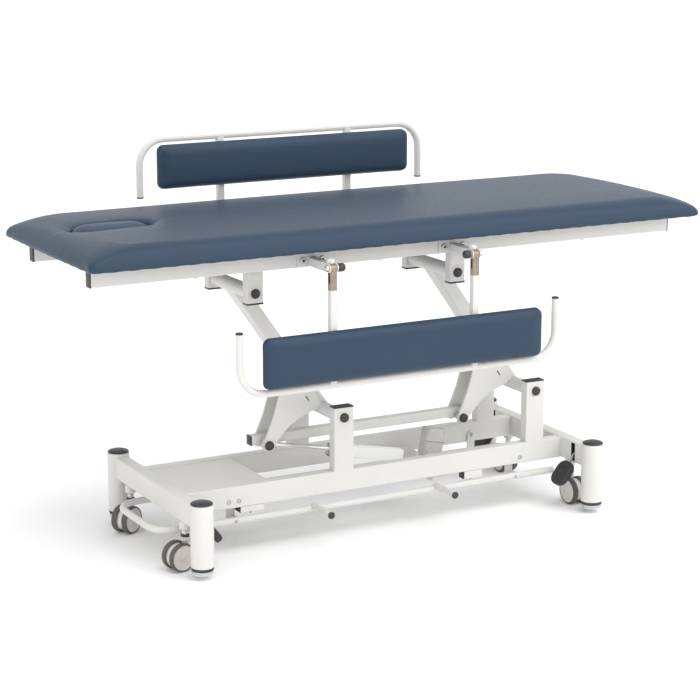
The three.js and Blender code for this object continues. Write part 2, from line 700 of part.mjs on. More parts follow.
function castorWheels(name, castor) {
  const near = WHEEL.spacing / 2 - WHEEL.thick / 2;
  const far = WHEEL.spacing / 2 + WHEEL.thick / 2;
  const r = WHEEL.r;
  const profile = [
    [0, -far + 2], [r - 5, -far], [r, -far + 5], [r, -near - 2], [r - 3, -near],
    [WHEEL.axleR, -near], [WHEEL.axleR, near],
    [r - 3, near], [r, near + 2], [r, far - 5], [r - 5, far], [0, far - 2],
  ];
  const pair = turned('y', [WHEEL.trail, 0, r], profile, 24);
  put(`castor_wheels_${name}`, turnTo(pair, castor), 'tyre');
}

// ---------------------------------------------------------------- pedals and foot bar
function pedal(side, end) {
  const [px, pz] = PEDAL.pivot;
  const [cx, cz] = PEDAL.centre;
  const reach = Math.hypot(cx - px, cz - pz);
  const half = PEDAL.thick / 2;
  const lever = plate([
    ...circlePoints(0, 0, 5, 90, 270, 8), [reach - 20, -4.5], [reach - 20, 4.5],
  ], -3, 3);
  const shape = roundedRect(reach - PEDAL.half, reach + PEDAL.half, -PEDAL.wide / 2, PEDAL.wide / 2, 26, 5);
  const pad = new THREE.ExtrudeGeometry(shape, {
    depth: PEDAL.thick - 8, bevelSize: 0, bevelThickness: 4, bevelOffset: 0, bevelSegments: 1,
  });
  pad.translate(0, 0, -half + 4);
  const whole = join(lever, pad).rotateY(-Math.atan2(cz - pz, cx - px)).translate(px, 0, pz);
  if (end === 'head') {
    whole.rotateZ(Math.PI);
  }
  put(`pedal_${side}_${end}`, whole.translate(0, SIDE[side] * PEDAL.y, 0), 'rubber');
}

function footBar() {
  const z = FOOT_BAR.z;
  const y = FOOT_BAR.y;
  const v = (px, py) => new THREE.Vector3(px, py, z);
  const tube = bentTube([v(FOOT_BAR.xFoot, -y), v(FOOT_BAR.xHead, -y), v(FOOT_BAR.xHead, y), v(FOOT_BAR.xFoot, y)],
    FOOT_BAR.bend, FOOT_BAR.r, 12);
  const parts = [tube];
  for (const x of PEGS.x) {
    parts.push(rod('y', [x, 0, PEGS.z], FOOT_BAR.r, -PEGS.y, -146, 12));
  }
  for (const side of ['near', 'far']) {
    const up = [SIDE[side] * 117, SIDE[side] * 121.6].sort((a, b) => a - b);
    const across = [SIDE[side] * 117, SIDE[side] * y].sort((a, b) => a - b);
    for (const x of HANGERS[side]) {
      const [x0, x1] = [x - HANGERS.half, x + HANGERS.half];
      const strap = [[x0, z - 6], [x1, z - 6], ...circlePoints(x, HANGERS.eyeZ, HANGERS.half, 0, 180, 10)];
      parts.push(plate(strap, ...up));
      parts.push(box([x0, x1], across, [z - 6, z + 6]));
    }
  }
  put('foot_bar', join(...parts), 'paint');
}

// ---------------------------------------------------------------- assembly
for (const end of Object.keys(END)) {
  endBeam(end);
  for (const side of Object.keys(SIDE)) {
    post(end, side);
    levellingFoot(end, side);
    pedal(side, end);
  }
}
for (const side of Object.keys(SIDE)) {
  baseSide(side);
  topRail(side);
  railFrame(side);
  railPad(side);
  Object.keys(END).forEach((end, i) => {
    hingeStub(side, end, HINGE.x[side][i]);
    hingePin(side, end, HINGE.x[side][i]);
    plunger(side, end, HINGE.x[side][i]);
  });
}
Object.keys(END).forEach((end, i) => {
  liftArm(end, TOWER.x[i]);
  crossMember(end, TOWER.x[i] + ARM_TOP[0]);
});
tray();
actuatorMount();
tieBar();
actuatorTube();
actuatorMotor();
actuatorRod();
mattress();
facePlug();
footBar();
for (const [name, castor] of Object.entries(CASTOR)) {
  castorStem(name, castor);
  castorFork(name, castor);
  castorWheels(name, castor);
}

export default table;
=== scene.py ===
"""Looks for a height-adjustable treatment table with two padded folding side rails."""

import json
import math

import bmesh
import bpy
from mathutils import Matrix, Vector


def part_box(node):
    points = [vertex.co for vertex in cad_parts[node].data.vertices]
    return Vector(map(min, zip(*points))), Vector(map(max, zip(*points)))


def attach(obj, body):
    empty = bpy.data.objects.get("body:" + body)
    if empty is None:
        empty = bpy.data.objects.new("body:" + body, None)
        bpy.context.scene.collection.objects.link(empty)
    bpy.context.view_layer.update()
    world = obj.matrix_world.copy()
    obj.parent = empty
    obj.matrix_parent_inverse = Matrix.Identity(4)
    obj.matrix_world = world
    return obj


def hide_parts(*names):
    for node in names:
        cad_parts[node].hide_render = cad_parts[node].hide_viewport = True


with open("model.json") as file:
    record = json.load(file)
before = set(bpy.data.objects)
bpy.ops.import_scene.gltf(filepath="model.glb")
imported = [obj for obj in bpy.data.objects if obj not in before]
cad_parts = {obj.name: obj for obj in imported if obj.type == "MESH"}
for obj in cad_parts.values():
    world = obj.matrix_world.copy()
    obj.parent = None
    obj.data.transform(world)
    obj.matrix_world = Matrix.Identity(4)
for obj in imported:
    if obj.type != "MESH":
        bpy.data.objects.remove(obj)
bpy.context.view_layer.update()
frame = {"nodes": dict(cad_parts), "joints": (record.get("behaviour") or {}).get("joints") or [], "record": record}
nodes = frame["nodes"]
joints = {j["name"]: j for j in frame["joints"]}

ENDS = ("head", "foot")
SIDES = ("near", "far")
OUT_X = {"head": -1, "foot": 1}
OUT_Y = {"near": -1, "far": 1}

X = Vector((1, 0, 0))
Y = Vector((0, 1, 0))
Z = Vector((0, 0, 1))

# ---- shared sizes, in metres
VINYL_CAP = 0.010            # how far the simulation may push the mattress cover
PAD_CAP = 0.0022             # the same for a rail pad
PLUG_CAP = 0.004             # and for the face plug
MATTRESS_VOXEL = 0.008
PLUG_VOXEL = 0.004
PAD_VOXEL = 0.006
PAD_CORNER = 0.020
STAPLE_PITCH = 0.055
POST_R = 0.032
RING_R = 0.031
FOOT_R = 0.0305
BOLT_CAP_R = 0.0135
TOWER_HALF = 0.0312
SLOT_HALF = 0.0080
SLOT_RIM = 0.0012
TUBE_MOUTH = 0.320           # open end of the actuator tube, from its pivot
TUBE_LEAN = 0.35             # degrees between the tube and the line of its pivots
TUBE_HALF_Y = 0.0170
TUBE_HALF_UP = 0.0183
KNOB_R = 0.0115
RAIL_R = 0.0103              # side rail tube
RAIL_END = {"near": 0.151, "far": 0.1524}   # open tube ends, measured from the hinge pin
BASE_Y = 0.01375             # middle of the base
HANGER_X = {"near": (-0.485, 0.437), "far": (-0.485, 0.451)}
PEG_X = (-0.237, 0.167)
RAISED_DROP = 0.038          # how far the raised rail has dropped to lock
WHEEL_R = 0.040
PEDAL_REACH = 0.0914         # lever, from its pivot to the middle of the pad
SCREW_R = 0.0055


def joint_at(name):
    return Vector(joints[name]["pos_m"])


# ---- materials
def link(tree, a, b):
    tree.links.new(a, b)


def node(tree, kind, **values):
    made = tree.nodes.new(kind)
    for key, value in values.items():
        setattr(made, key, value)
    return made


def noise(tree, coords, scale, detail=3.0, rough=0.5):
    made = node(tree, "ShaderNodeTexNoise")
    made.inputs["Scale"].default_value = scale
    made.inputs["Detail"].default_value = detail
    made.inputs["Roughness"].default_value = rough
    link(tree, coords, made.inputs["Vector"])
    return made.outputs["Fac"]


def remap(tree, value, lo, hi, out_lo, out_hi):
    made = node(tree, "ShaderNodeMapRange")
    for key, number in (("From Min", lo), ("From Max", hi), ("To Min", out_lo), ("To Max", out_hi)):
        made.inputs[key].default_value = number
    link(tree, value, made.inputs["Value"])
    return made.outputs["Result"]


def tint(tree, fac, dark, light):
    ramp = node(tree, "ShaderNodeValToRGB")
    ramp.color_ramp.elements[0].color = (*dark, 1)
    ramp.color_ramp.elements[1].color = (*light, 1)
    link(tree, fac, ramp.inputs["Fac"])
    return ramp.outputs["Color"]


def bump(tree, height, strength, distance, under=None):
    made = node(tree, "ShaderNodeBump")
    made.inputs["Strength"].default_value = strength
    made.inputs["Distance"].default_value = distance
    link(tree, height, made.inputs["Height"])
    if under is not None:
        link(tree, under, made.inputs["Normal"])
    return made.outputs["Normal"]


def scaled(color, k):
    return tuple(min(c * k, 1.0) for c in color)


def new_material(name):
    material = bpy.data.materials.new(name)
    material.use_nodes = True
    tree = material.node_tree
    shader = tree.nodes["Principled BSDF"]
    coords = node(tree, "ShaderNodeTexCoord").outputs["Object"]
    return material, tree, shader, coords


def cloudy(tree, shader, cloud, dark, light):
    """Base colour that drifts between two tones with the cloud."""
    link(tree, tint(tree, remap(tree, cloud, 0.3, 0.7, 0, 1), dark, light), shader.inputs["Base Color"])


def patchy(tree, shader, pattern, low, high):
    """Roughness that drifts between two values with the pattern."""
    link(tree, remap(tree, pattern, 0.3, 0.7, low, high), shader.inputs["Roughness"])


def finish_paint(tree, shader, coords, color, rough=0.42):
    """Powder coat: a fine orange peel and a slightly cloudy colour."""
    cloudy(tree, shader, noise(tree, coords, 6.0), scaled(color, 0.97), color)
    peel = noise(tree, coords, 900.0, 2.0)
    link(tree, bump(tree, peel, 0.12, 0.0004), shader.inputs["Normal"])
    patchy(tree, shader, noise(tree, coords, 40.0), rough - 0.05, rough + 0.07)
    shader.inputs["Specular IOR Level"].default_value = 0.45


def paint(name, color, rough=0.42):
    material, tree, shader, coords = new_material(name)
    finish_paint(tree, shader, coords, color, rough)
    return material


def vinyl(name, color, rough=0.42):
    """Grained upholstery vinyl: small pebbles over soft broad creases."""
    material, tree, shader, coords = new_material(name)
    cloudy(tree, shader, noise(tree, coords, 3.5, 4.0), scaled(color, 0.96), scaled(color, 1.04))
    pebbles = node(tree, "ShaderNodeTexVoronoi", feature="SMOOTH_F1")
    pebbles.inputs["Scale"].default_value = 620.0
    link(tree, coords, pebbles.inputs["Vector"])
    grain = bump(tree, pebbles.outputs["Distance"], 0.22, 0.0005)
    creases = bump(tree, noise(tree, coords, 9.0, 4.0, 0.5), 0.06, 0.004, grain)
    link(tree, creases, shader.inputs["Normal"])
    patchy(tree, shader, noise(tree, coords, 60.0), rough - 0.02, rough + 0.03)
    shader.inputs["Specular IOR Level"].default_value = 0.20
    shader.inputs["Sheen Weight"].default_value = 0.05
    shader.inputs["Sheen Roughness"].default_value = 0.4
    return material


def plastic(name, color, rough, grain=500.0, depth=0.15, coat=0.0):
    material, tree, shader, coords = new_material(name)
    cloudy(tree, shader, noise(tree, coords, 18.0), scaled(color, 0.9), scaled(color, 1.12))
    link(tree, bump(tree, noise(tree, coords, grain, 2.0), depth, 0.0004), shader.inputs["Normal"])
    patchy(tree, shader, noise(tree, coords, 60.0), rough - 0.06, rough + 0.08)
    shader.inputs["Coat Weight"].default_value = coat
    return material


def metal(name, color, rough, stretch=(30.0, 30.0, 900.0), depth=0.05):
    """Brushed or plated metal with drawn lines along one axis."""
    material, tree, shader, coords = new_material(name)
    drawn = node(tree, "ShaderNodeMapping")
    drawn.inputs["Scale"].default_value = stretch
    link(tree, coords, drawn.inputs["Vector"])
    lines = noise(tree, drawn.outputs["Vector"], 1.0, 3.0)
    link(tree, tint(tree, lines, scaled(color, 0.85), color), shader.inputs["Base Color"])
    link(tree, bump(tree, lines, depth, 0.0003), shader.inputs["Normal"])
    patchy(tree, shader, lines, rough - 0.05, rough + 0.1)
    shader.inputs["Metallic"].default_value = 1.0
    return material


def clear_plastic(name):
    """Milky clear foot with some light passing through."""
    material, tree, shader, coords = new_material(name)
    cloud = noise(tree, coords, 45.0)
    link(tree, tint(tree, cloud, (0.62, 0.64, 0.67), (0.9, 0.91, 0.92)), shader.inputs["Base Color"])
    patchy(tree, shader, noise(tree, coords, 80.0), 0.08, 0.2)
    shader.inputs["Transmission Weight"].default_value = 0.35
    shader.inputs["IOR"].default_value = 1.47
    shader.inputs["Coat Weight"].default_value = 0.5
    return material


def two_part(name, split_z, steel_above, paint_color, steel_color):
    """Painted rail whose arm heads, beyond one height, are bare steel."""
    material, tree, shader, coords = new_material(name)
    finish_paint(tree, shader, coords, paint_color)
    bare = node(tree, "ShaderNodeBsdfPrincipled")
    blotch = noise(tree, coords, 90.0, 4.0)
    link(tree, tint(tree, remap(tree, blotch, 0.35, 0.65, 0, 1), scaled(steel_color, 0.8), steel_color),
         bare.inputs["Base Color"])
    patchy(tree, bare, blotch, 0.32, 0.5)
    bare.inputs["Metallic"].default_value = 0.75
    split = node(tree, "ShaderNodeSeparateXYZ")
    link(tree, coords, split.inputs["Vector"])
    edge = 0.0006
    lo, hi = (0, 1) if steel_above else (1, 0)
    mask = remap(tree, split.outputs["Z"], split_z - edge, split_z + edge, lo, hi)
    mixed = node(tree, "ShaderNodeMixShader")
    link(tree, mask, mixed.inputs["Fac"])
    link(tree, shader.outputs["BSDF"], mixed.inputs[1])
    link(tree, bare.outputs["BSDF"], mixed.inputs[2])
    link(tree, mixed.outputs["Shader"], tree.nodes["Material Output"].inputs["Surface"])
    return material


WHITE = (0.664, 0.652, 0.624)
NAVY = (0.027, 0.050, 0.083)
STEEL = (0.34, 0.28, 0.23)

look = {
    "paint": paint("powder_coat", WHITE),
    "bright_white": paint("bright_coat", (0.96, 0.96, 0.955), 0.35),
    "vinyl": vinyl("navy_vinyl", NAVY),
    "black_plastic": plastic("black_plastic", (0.031, 0.031, 0.034), 0.45, 300.0, 0.2),
    "rubber": plastic("rubber", (0.028, 0.027, 0.029), 0.7, 220.0, 0.5),
    "tyre": plastic("tyre", (0.088, 0.084, 0.080), 0.6, 350.0, 0.25),
    "castor_body": plastic("castor_body", (0.62, 0.585, 0.545), 0.38, 400.0, 0.12, 0.1),
    "steel": metal("galvanised", (0.62, 0.60, 0.57), 0.32),
    "chrome": metal("chrome", (0.80, 0.79, 0.78), 0.34),
    "clear_foot": clear_plastic("clear_foot"),
    "motor_plastic": plastic("motor_plastic", (0.50, 0.495, 0.47), 0.45, 260.0, 0.2),
    # near-black painted shade, used for the insides of the pedal slots and for open seams
    "dark": plastic("painted_shade_black", (0.01, 0.01, 0.012), 0.8, 200.0, 0.1),
}


# ---- making pieces
def mesh_object(name, bm, slot, material=None, smooth=35):
    bmesh.ops.recalc_face_normals(bm, faces=bm.faces)
    mesh = bpy.data.meshes.new(name)
    bm.to_mesh(mesh)
    bm.free()
    piece = bpy.data.objects.new(name, mesh)
    bpy.context.scene.collection.objects.link(piece)
    mesh.materials.append(material or look[slot])
    shade(piece, smooth)
    return piece


def smooth_faces(piece):
    for face in piece.data.polygons:
        face.use_smooth = True


def shade(piece, degrees):
    smooth_faces(piece)
    if degrees < 180:
        limit = math.radians(degrees)
        bm = bmesh.new()
        bm.from_mesh(piece.data)
        for edge in bm.edges:
            if len(edge.link_faces) == 2 and edge.calc_face_angle(0) > limit:
                edge.smooth = False
        bm.to_mesh(piece.data)
        bm.free()


def skin(bm, loops, closed=False, ends=False):
    """Joins each loop of vertices to the next; closed joins the last to the first, ends caps both."""
    following = loops[1:] + (loops[:1] if closed else [])
    for a, b in zip(loops, following):
        n = len(a)
        for i in range(n):
            bm.faces.new((a[i], a[(i + 1) % n], b[(i + 1) % n], b[i]))
    if ends:
        bm.faces.new(list(reversed(loops[0])))
        bm.faces.new(loops[-1])


def lathe(name, profile, origin, axis, body, slot, segments=48, smooth=40, material=None):
    """Solid of revolution: profile is [radius, along] pairs that start and end on the axis."""
    axis = Vector(axis).normalized()
    side = axis.orthogonal().normalized()
    third = axis.cross(side)
    bm = bmesh.new()
    rings = []
    for r, h in profile:
        if r < 1e-7:
            rings.append([bm.verts.new(origin + axis * h)])
            continue
        ring = []
        for i in range(segments):
            a = 2 * math.pi * i / segments
            around = side * (r * math.cos(a)) + third * (r * math.sin(a))
            ring.append(bm.verts.new(origin + axis * h + around))
        rings.append(ring)
    for a, b in zip(rings, rings[1:]):
        for i in range(segments):
            j = (i + 1) % segments
            if len(a) == 1 and len(b) == 1:
                continue
            if len(a) == 1:
                bm.faces.new((a[0], b[i], b[j]))
            elif len(b) == 1:
                bm.faces.new((a[i], b[0], a[j]))
            else:
                bm.faces.new((a[i], b[i], b[j], a[j]))
    piece = mesh_object(name, bm, slot, material, smooth)
    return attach(piece, body)


def block(name, lo, hi, body, slot, radius=0.001, segments=2, material=None):
    """Box with rounded edges between two corners."""
    lo, hi = Vector(lo), Vector(hi)
    bm = bmesh.new()
    bmesh.ops.create_cube(bm, size=1)
    size = hi - lo
    for vert in bm.verts:
        vert.co = Vector([(vert.co[k] + 0.5) * size[k] for k in range(3)]) + lo
    bmesh.ops.bevel(bm, geom=list(bm.edges), offset=min(radius, min(size) * 0.45), segments=segments,
                    profile=0.5, affect="EDGES")
    piece = mesh_object(name, bm, slot, material, 50)
    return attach(piece, body)


def plate(name, outline, origin, across, up, thick, body, slot, bevel=0.0006, material=None):
    """Flat plate: outline is (across, up) pairs, thickened along across x up."""
    across, up = Vector(across).normalized(), Vector(up).normalized()
    normal = across.cross(up)
    bm = bmesh.new()
    face = bm.faces.new([bm.verts.new(origin + across * a + up * b) for a, b in outline])
    out = bmesh.ops.extrude_face_region(bm, geom=[face])
    for item in out["geom"]:
        if isinstance(item, bmesh.types.BMVert):
            item.co += normal * thick
    bmesh.ops.recalc_face_normals(bm, faces=bm.faces)
    sharp = [e for e in bm.edges if len(e.link_faces) == 2 and e.calc_face_angle(0) > 0.6]
    if bevel:
        bmesh.ops.bevel(bm, geom=sharp, offset=bevel, segments=2, profile=0.5, affect="EDGES")
    piece = mesh_object(name, bm, slot, material, 40)
    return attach(piece, body)


def sweep(name, points, radius, body, slot, sides=16, closed=False):
    """Round bead carried along a line of points."""
    bm = bmesh.new()
    rings = []
    count = len(points)
    last_side = None
    for i, point in enumerate(points):
        ahead = points[(i + 1) % count] if closed or i + 1 < count else point
        behind = points[i - 1] if closed or i else point
        direction = (ahead - behind).normalized()
        side = (last_side - direction * last_side.dot(direction)) if last_side else direction.orthogonal()
        side.normalize()
        last_side = side
        other = direction.cross(side)
        rings.append([bm.verts.new(point + side * (radius * math.cos(2 * math.pi * k / sides))
                                   + other * (radius * math.sin(2 * math.pi * k / sides)))
                      for k in range(sides)])
    skin(bm, rings, closed)
    if not closed:
        bm.faces.new(rings[0])
        bm.faces.new(list(reversed(rings[-1])))
    piece = mesh_object(name, bm, slot, None, 60)
    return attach(piece, body)


def screw(name, at, axis, body, radius=SCREW_R, slot="steel"):
    """Pan head with a hexagon socket, standing on a face."""
    r = radius
    lathe(name, [(0, -0.0002), (r, -0.0002), (r, r * 0.35), (r * 0.8, r * 0.6), (r * 0.45, r * 0.66),
                 (r * 0.42, r * 0.3), (0, r * 0.3)], at, axis, body, slot, 24)


def bolt_cap(name, at, axis, body):
    """Black domed cover over a pivot bolt."""
    r = BOLT_CAP_R
    lathe(name, [(0, -0.0002), (r, -0.0002), (r, 0.004), (r * 0.93, 0.0062), (r * 0.72, 0.0078),
                 (r * 0.66, 0.0072), (r * 0.4, 0.0084), (0, 0.0088)], at, axis, body, "black_plastic", 40)


def pick(lo, hi, axis, sign):
    return (hi if sign > 0 else lo)[axis]


# ---- carried-over CAD nodes
def dress_cad():
    slots = {s["node"]: s["material_slot"] for s in frame["record"]["subparts"]}
    for name, piece in nodes.items():
        piece.data.materials.clear()
        piece.data.materials.append(look[slots[name]])
        smooth_faces(piece)
        edges = piece.modifiers.new("edges", "BEVEL")
        edges.width = 0.0012
        edges.segments = 2
        edges.limit_method = "ANGLE"
        edges.angle_limit = math.radians(40)
        edges.harden_normals = True
    for side, rise, above in (("near", -0.060, True), ("far", 0.024, False)):
        height = joint_at(f"fold_{side}").z + rise
        coat = two_part(f"rail_paint_{side}", height, above, WHITE, STEEL)
        nodes[f"rail_frame_{side}"].data.materials[0] = coat


# ---- base
def posts():
    for side in SIDES:
        for end in ENDS:
            name = f"{side}_{end}"
            lo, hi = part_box(f"post_{name}")
            centre = Vector(((lo.x + hi.x) / 2, (lo.y + hi.y) / 2, 0))
            rim = hi.z - 0.013
            start = lo.z + 0.008
            r = POST_R
            shaft = [(0, start), (r - 0.0015, start), (r, start + 0.0015), (r, rim - 0.002),
                     (r - 0.0008, rim - 0.0004), (r - 0.0025, rim), (0, rim)]
            cap = [(0, rim - 0.001), (r - 0.003, rim - 0.001), (r - 0.0016, rim + 0.0005),
                   (r - 0.0016, rim + 0.003), (r - 0.003, rim + 0.0046), (r - 0.012, rim + 0.0078),
                   (r - 0.022, rim + 0.0092), (0, rim + 0.0098)]
            ring = [(0, lo.z), (RING_R - 0.001, lo.z), (RING_R, lo.z + 0.001), (RING_R, start - 0.0010),
                    (RING_R - 0.0008, start - 0.0002), (0, start - 0.0002)]
            tube = lathe(f"tube_{name}", shaft, centre, Z, "base", "paint", 64)
            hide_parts(f"post_{name}")
            lathe(f"post_cap_{name}", cap, centre, Z, "base", "black_plastic", 64)
            lathe(f"post_ring_{name}", ring, centre, Z, "base", "black_plastic", 64)
            foot_disc(name, centre)


def foot_disc(name, centre):
    lo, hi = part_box(f"foot_{name}")
    r = FOOT_R
    top = lo.z + 0.0121
    profile = [(0, lo.z), (r - 0.006, lo.z), (r - 0.002, lo.z + 0.0012), (r, lo.z + 0.0035),
               (r, lo.z + 0.0052), (r - 0.0016, lo.z + 0.0062), (r - 0.0016, lo.z + 0.0078),
               (r, lo.z + 0.0088), (r, top - 0.001), (r - 0.002, top), (0.013, top), (0.013, hi.z), (0, hi.z)]
    disc = lathe(f"disc_{name}", profile, centre, Z, "feet_" + name.split("_")[1], "clear_foot", 64)
    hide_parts(f"foot_{name}")


def base_details():
    for side in SIDES:
        lo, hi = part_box(f"base_side_{side}")
        face = pick(lo, hi, 1, OUT_Y[side])
        out = Y * OUT_Y[side]
        inner = pick(lo, hi, 1, -OUT_Y[side])
        for end, arm in (("head", "lift"), ("foot", "lift_foot")):
            pivot = joint_at(arm)
            bolt_cap(f"tower_bolt_{side}_{end}", Vector((pivot.x, face, pivot.z)), out, "base")
            tower_cap(f"tower_cap_{side}_{end}", pivot.x, min(face, inner), max(face, inner), hi.z)
        for i, (x, z) in enumerate(((-0.504, 0.156), (-0.473, 0.156), (0.454, 0.156))):
            screw(f"rail_screw_{side}_{i}", Vector((x, face, z)), out, "base", 0.0062)
        corner_welds(side, lo, hi)
    switch_boxes()
    slot_frames()


def tower_cap(name, x, y0, y1, top):
    """Ribbed plug in the top of a square tube."""
    half = TOWER_HALF
    block(name, (x - half, y0 + 0.0004, top - 0.0037), (x + half, y1 - 0.0004, top + 0.0006),
          "base", "black_plastic", 0.0016, 3)
    for i in range(5):
        y = y0 + 0.006 + i * (y1 - y0 - 0.012) / 4
        block(f"{name}_rib{i}", (x - half + 0.004, y - 0.0011, top + 0.0003),
              (x + half - 0.004, y + 0.0011, top + 0.0013), "base", "black_plastic", 0.0004)


def corner_welds(side, lo, hi):
    """Fillet bead where each base rail meets its end beam."""
    outer = pick(lo, hi, 1, OUT_Y[side]) + OUT_Y[side] * 0.0004
    low = lo.z + 0.002
    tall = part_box("end_beam_head")[0].z + 0.0615 - lo.z - 0.006
    for end in ENDS:
        beam_lo, beam_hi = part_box(f"end_beam_{end}")
        x = pick(beam_lo, beam_hi, 0, -OUT_X[end]) - OUT_X[end] * 0.0006
        points = []
        for i in range(25):
            t = i / 24
            wobble = 0.0003 * math.sin(t * 60 + OUT_X[end])
            points.append(Vector((x + wobble, outer, low + t * tall)))
        sweep(f"weld_{side}_{end}", points, 0.0018, "base", "paint", 8)


def switch_boxes():
    """Small housings under the near base rail, with a dark end cap and a pin toward the switch bar."""
    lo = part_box("base_side_near")[0]
    boxes = (("head", -0.468, -0.394, 0.018, 0.050), ("foot", 0.262, 0.324, 0.024, 0.030))
    for name, x0, x1, deep, depth in boxes:
        y0 = lo.y + 0.0015
        under = lo.z - 0.0003
        block(f"switch_box_{name}", (x0, y0, lo.z - deep), (x1, y0 + depth, under),
              "base", "paint", 0.0018, 3)
        block(f"switch_end_{name}", (x0 - 0.0022, y0 + 0.001, lo.z - deep + 0.001),
              (x0 + 0.0004, y0 + depth - 0.001, under - 0.0008), "base", "black_plastic", 0.0009, 2)
        lathe(f"switch_pin_{name}", [(0, 0), (0.0045, 0), (0.0045, 0.005), (0.003, 0.0065), (0, 0.0065)],
              Vector(((x0 + x1) / 2, y0 + 0.017, lo.z - deep)), -Z, "base", "black_plastic", 24)


def slot_frames():
    """Black liner round each pedal slot, darkened with painted shade, and a near-black plate painted as the shade
    deep inside the hollow beam.
    """
    half, rim = SLOT_HALF, SLOT_RIM
    for end in ENDS:
        lo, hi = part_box(f"end_beam_{end}")
        z0, z1 = lo.z + 0.0073, hi.z - 0.0053
        outer = pick(lo, hi, 0, OUT_X[end]) - OUT_X[end] * 0.0088
        mouth = pick(lo, hi, 0, -OUT_X[end])
        x0, x1 = sorted((mouth - OUT_X[end] * 0.0009, outer))
        for side in SIDES:
            p_lo, p_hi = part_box(f"pedal_{side}_{end}")
            y = (p_lo.y + p_hi.y) / 2
            # painted shade: near-black plate standing for the shade inside the hollow beam
            block(f"slot_shade_plate_{side}_{end}", (outer - 0.0008, y - half + 0.0001, z0),
                  (outer + 0.0008, y + half - 0.0001, z1), "base", "black_plastic", 0.0002, 1, look["dark"])
            strips = ((y - half - rim, y - half + 0.0006, z0 - rim, z1 + rim),
                      (y + half - 0.0006, y + half + rim, z0 - rim, z1 + rim),
                      (y - half, y + half, z0 - rim, z0 - 0.0001),
                      (y - half, y + half, z1 + 0.0001, z1 + rim))
            # liner strips: a black liner, made near-black with painted shade
            for i, (y0, y1, low, high) in enumerate(strips):
                block(f"slot_liner_{side}_{end}_{i}", (x0, y0, low), (x1, y1, high), "base", "black_plastic",
                      0.0005, 2, look["dark"])


# ---- lift
def lift_details():
    sleeve = [(0, -0.036), (0.0125, -0.036), (0.0125, -0.030), (0.0105, -0.029), (0.0105, -0.002),
              (0, -0.002)]
    for end, arm in (("head", "lift"), ("foot", "lift_foot")):
        body = f"{end}_arm"
        low = joint_at(arm)
        shift = joint_at("lift_foot") - joint_at("lift") if end == "foot" else Vector()
        top = joint_at("top_level") + shift
        link_pin = joint_at("tie_level") + shift
        along = (top - low).normalized()
        for s in (-1, 1):
            outside = Vector((link_pin.x, link_pin.y + s * 0.0385, link_pin.z))
            bolt_cap(f"link_bolt_{end}_{s + 1}", outside, Y * s, body)
            edge = low + Y * (s * 0.0302)
            bead = [edge + along * t + along.cross(Y) * 0.0202 for t in (0.03, 0.09, 0.15)]
            sweep(f"arm_bead_{end}_{s + 1}", bead, 0.0012, body, "paint", 8)
        lathe(f"link_sleeve_{end}", sleeve, link_pin, Y, body, "steel", 32)
        slit(end, body, low)
        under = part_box(f"cross_member_{end}")[0].z
        for side in SIDES:
            out = OUT_Y[side]
            outer = joint_at("lift").y + out * 0.140
            bolt_cap(f"bracket_bolt_{side}_{end}", Vector((top.x, outer, top.z)), Y * out, "top_frame")
            y0, y1 = sorted((outer - out * 0.0290, outer + out * 0.0004))
            block(f"bracket_cap_{side}_{end}", (top.x - 0.0255, y0, under - 0.0030),
                  (top.x + 0.0255, y1, under + 0.0026), "top_frame", "black_plastic", 0.0012, 3)
    tie_details()


def slit(end, body, low):
    """Near-black sheet painted as the shade in a short open seam at the top of the gusset border."""
    for s in (-1, 1):
        outline = [(-0.0625, 0.046), (-0.0590, 0.043), (-0.0500, 0.030), (-0.0520, 0.0285), (-0.0605, 0.040)]
        at = low + Y * (s * 0.0361 - 0.0002)
        # painted shade: the open seam is drawn as a near-black sheet
        plate(f"gusset_slit_shade_{end}_{s + 1}", outline, at, X, Z, 0.0004, body, "black_plastic", 0.0,
              look["dark"])


def tie_details():
    lo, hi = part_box("tie_bar")
    for end, x0, x1 in (("head", lo.x - 0.0028, lo.x + 0.0006), ("foot", hi.x - 0.0006, hi.x + 0.0028)):
        block(f"tie_cap_{end}", (x0, lo.y - 0.0003, lo.z - 0.0003), (x1, hi.y + 0.0003, hi.z + 0.0003),
              "tie", "black_plastic", 0.001, 3)


def actuator():
    pivot = joint_at("actuator_tilt")
    eye = joint_at("piston_tilt")
    along = eye - pivot
    along.y = 0
    along.normalize()
    along = Matrix.Rotation(-math.radians(TUBE_LEAN), 3, "Y") @ along
    up = Y.cross(along).normalized()
    if up.z < 0:
        up = -up
    t_lo, t_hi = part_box("actuator_tube")
    centre = Vector((pivot.x, (t_lo.y + t_hi.y) / 2, pivot.z))
    mouth = centre + along * TUBE_MOUTH
    lip = [mouth + Y * a + up * b for a, b in rounded_ring(0, 0, 0.0148, 0.0168, 0.005, 0.0, 6, 10)]
    sweep("tube_lip", lip, 0.0013, "actuator_body", "rubber", 8, True)
    sleeves = ((0.0345, 0.0730, 0.0008), (0.0730, 0.0765, 0.0014), (0.0440, 0.0470, 0.0014))
    for i, (start, stop, grow) in enumerate(sleeves):
        half_y, half_up = TUBE_HALF_Y + grow, TUBE_HALF_UP + grow
        housing(f"gear_housing_{i}", centre, along, up, start, stop, half_y, half_up)
    y0, y1 = (corner.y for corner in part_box("actuator_motor"))
    seam = [centre - along * u + up * 0.054 for u in (-0.0222, 0.0442)]
    for s, y in ((0, y0 - 0.0002), (1, y1 + 0.0002)):
        pts = [Vector((p.x, y, p.z)) for p in seam]
        sweep(f"motor_seam_{s}", pts, 0.0006, "actuator_body", "black_plastic", 8)
    for i, (u, v) in enumerate(((-0.014, 0.024), (0.036, 0.024), (-0.014, 0.084), (0.036, 0.084))):
        at = centre - along * u + up * v
        screw(f"motor_screw_{i}", Vector((at.x, y0, at.z)), -Y, "actuator_body", 0.0030)
    screw("clevis_bolt", Vector((pivot.x, centre.y - 0.0175, pivot.z)), -Y, "base", 0.0075)


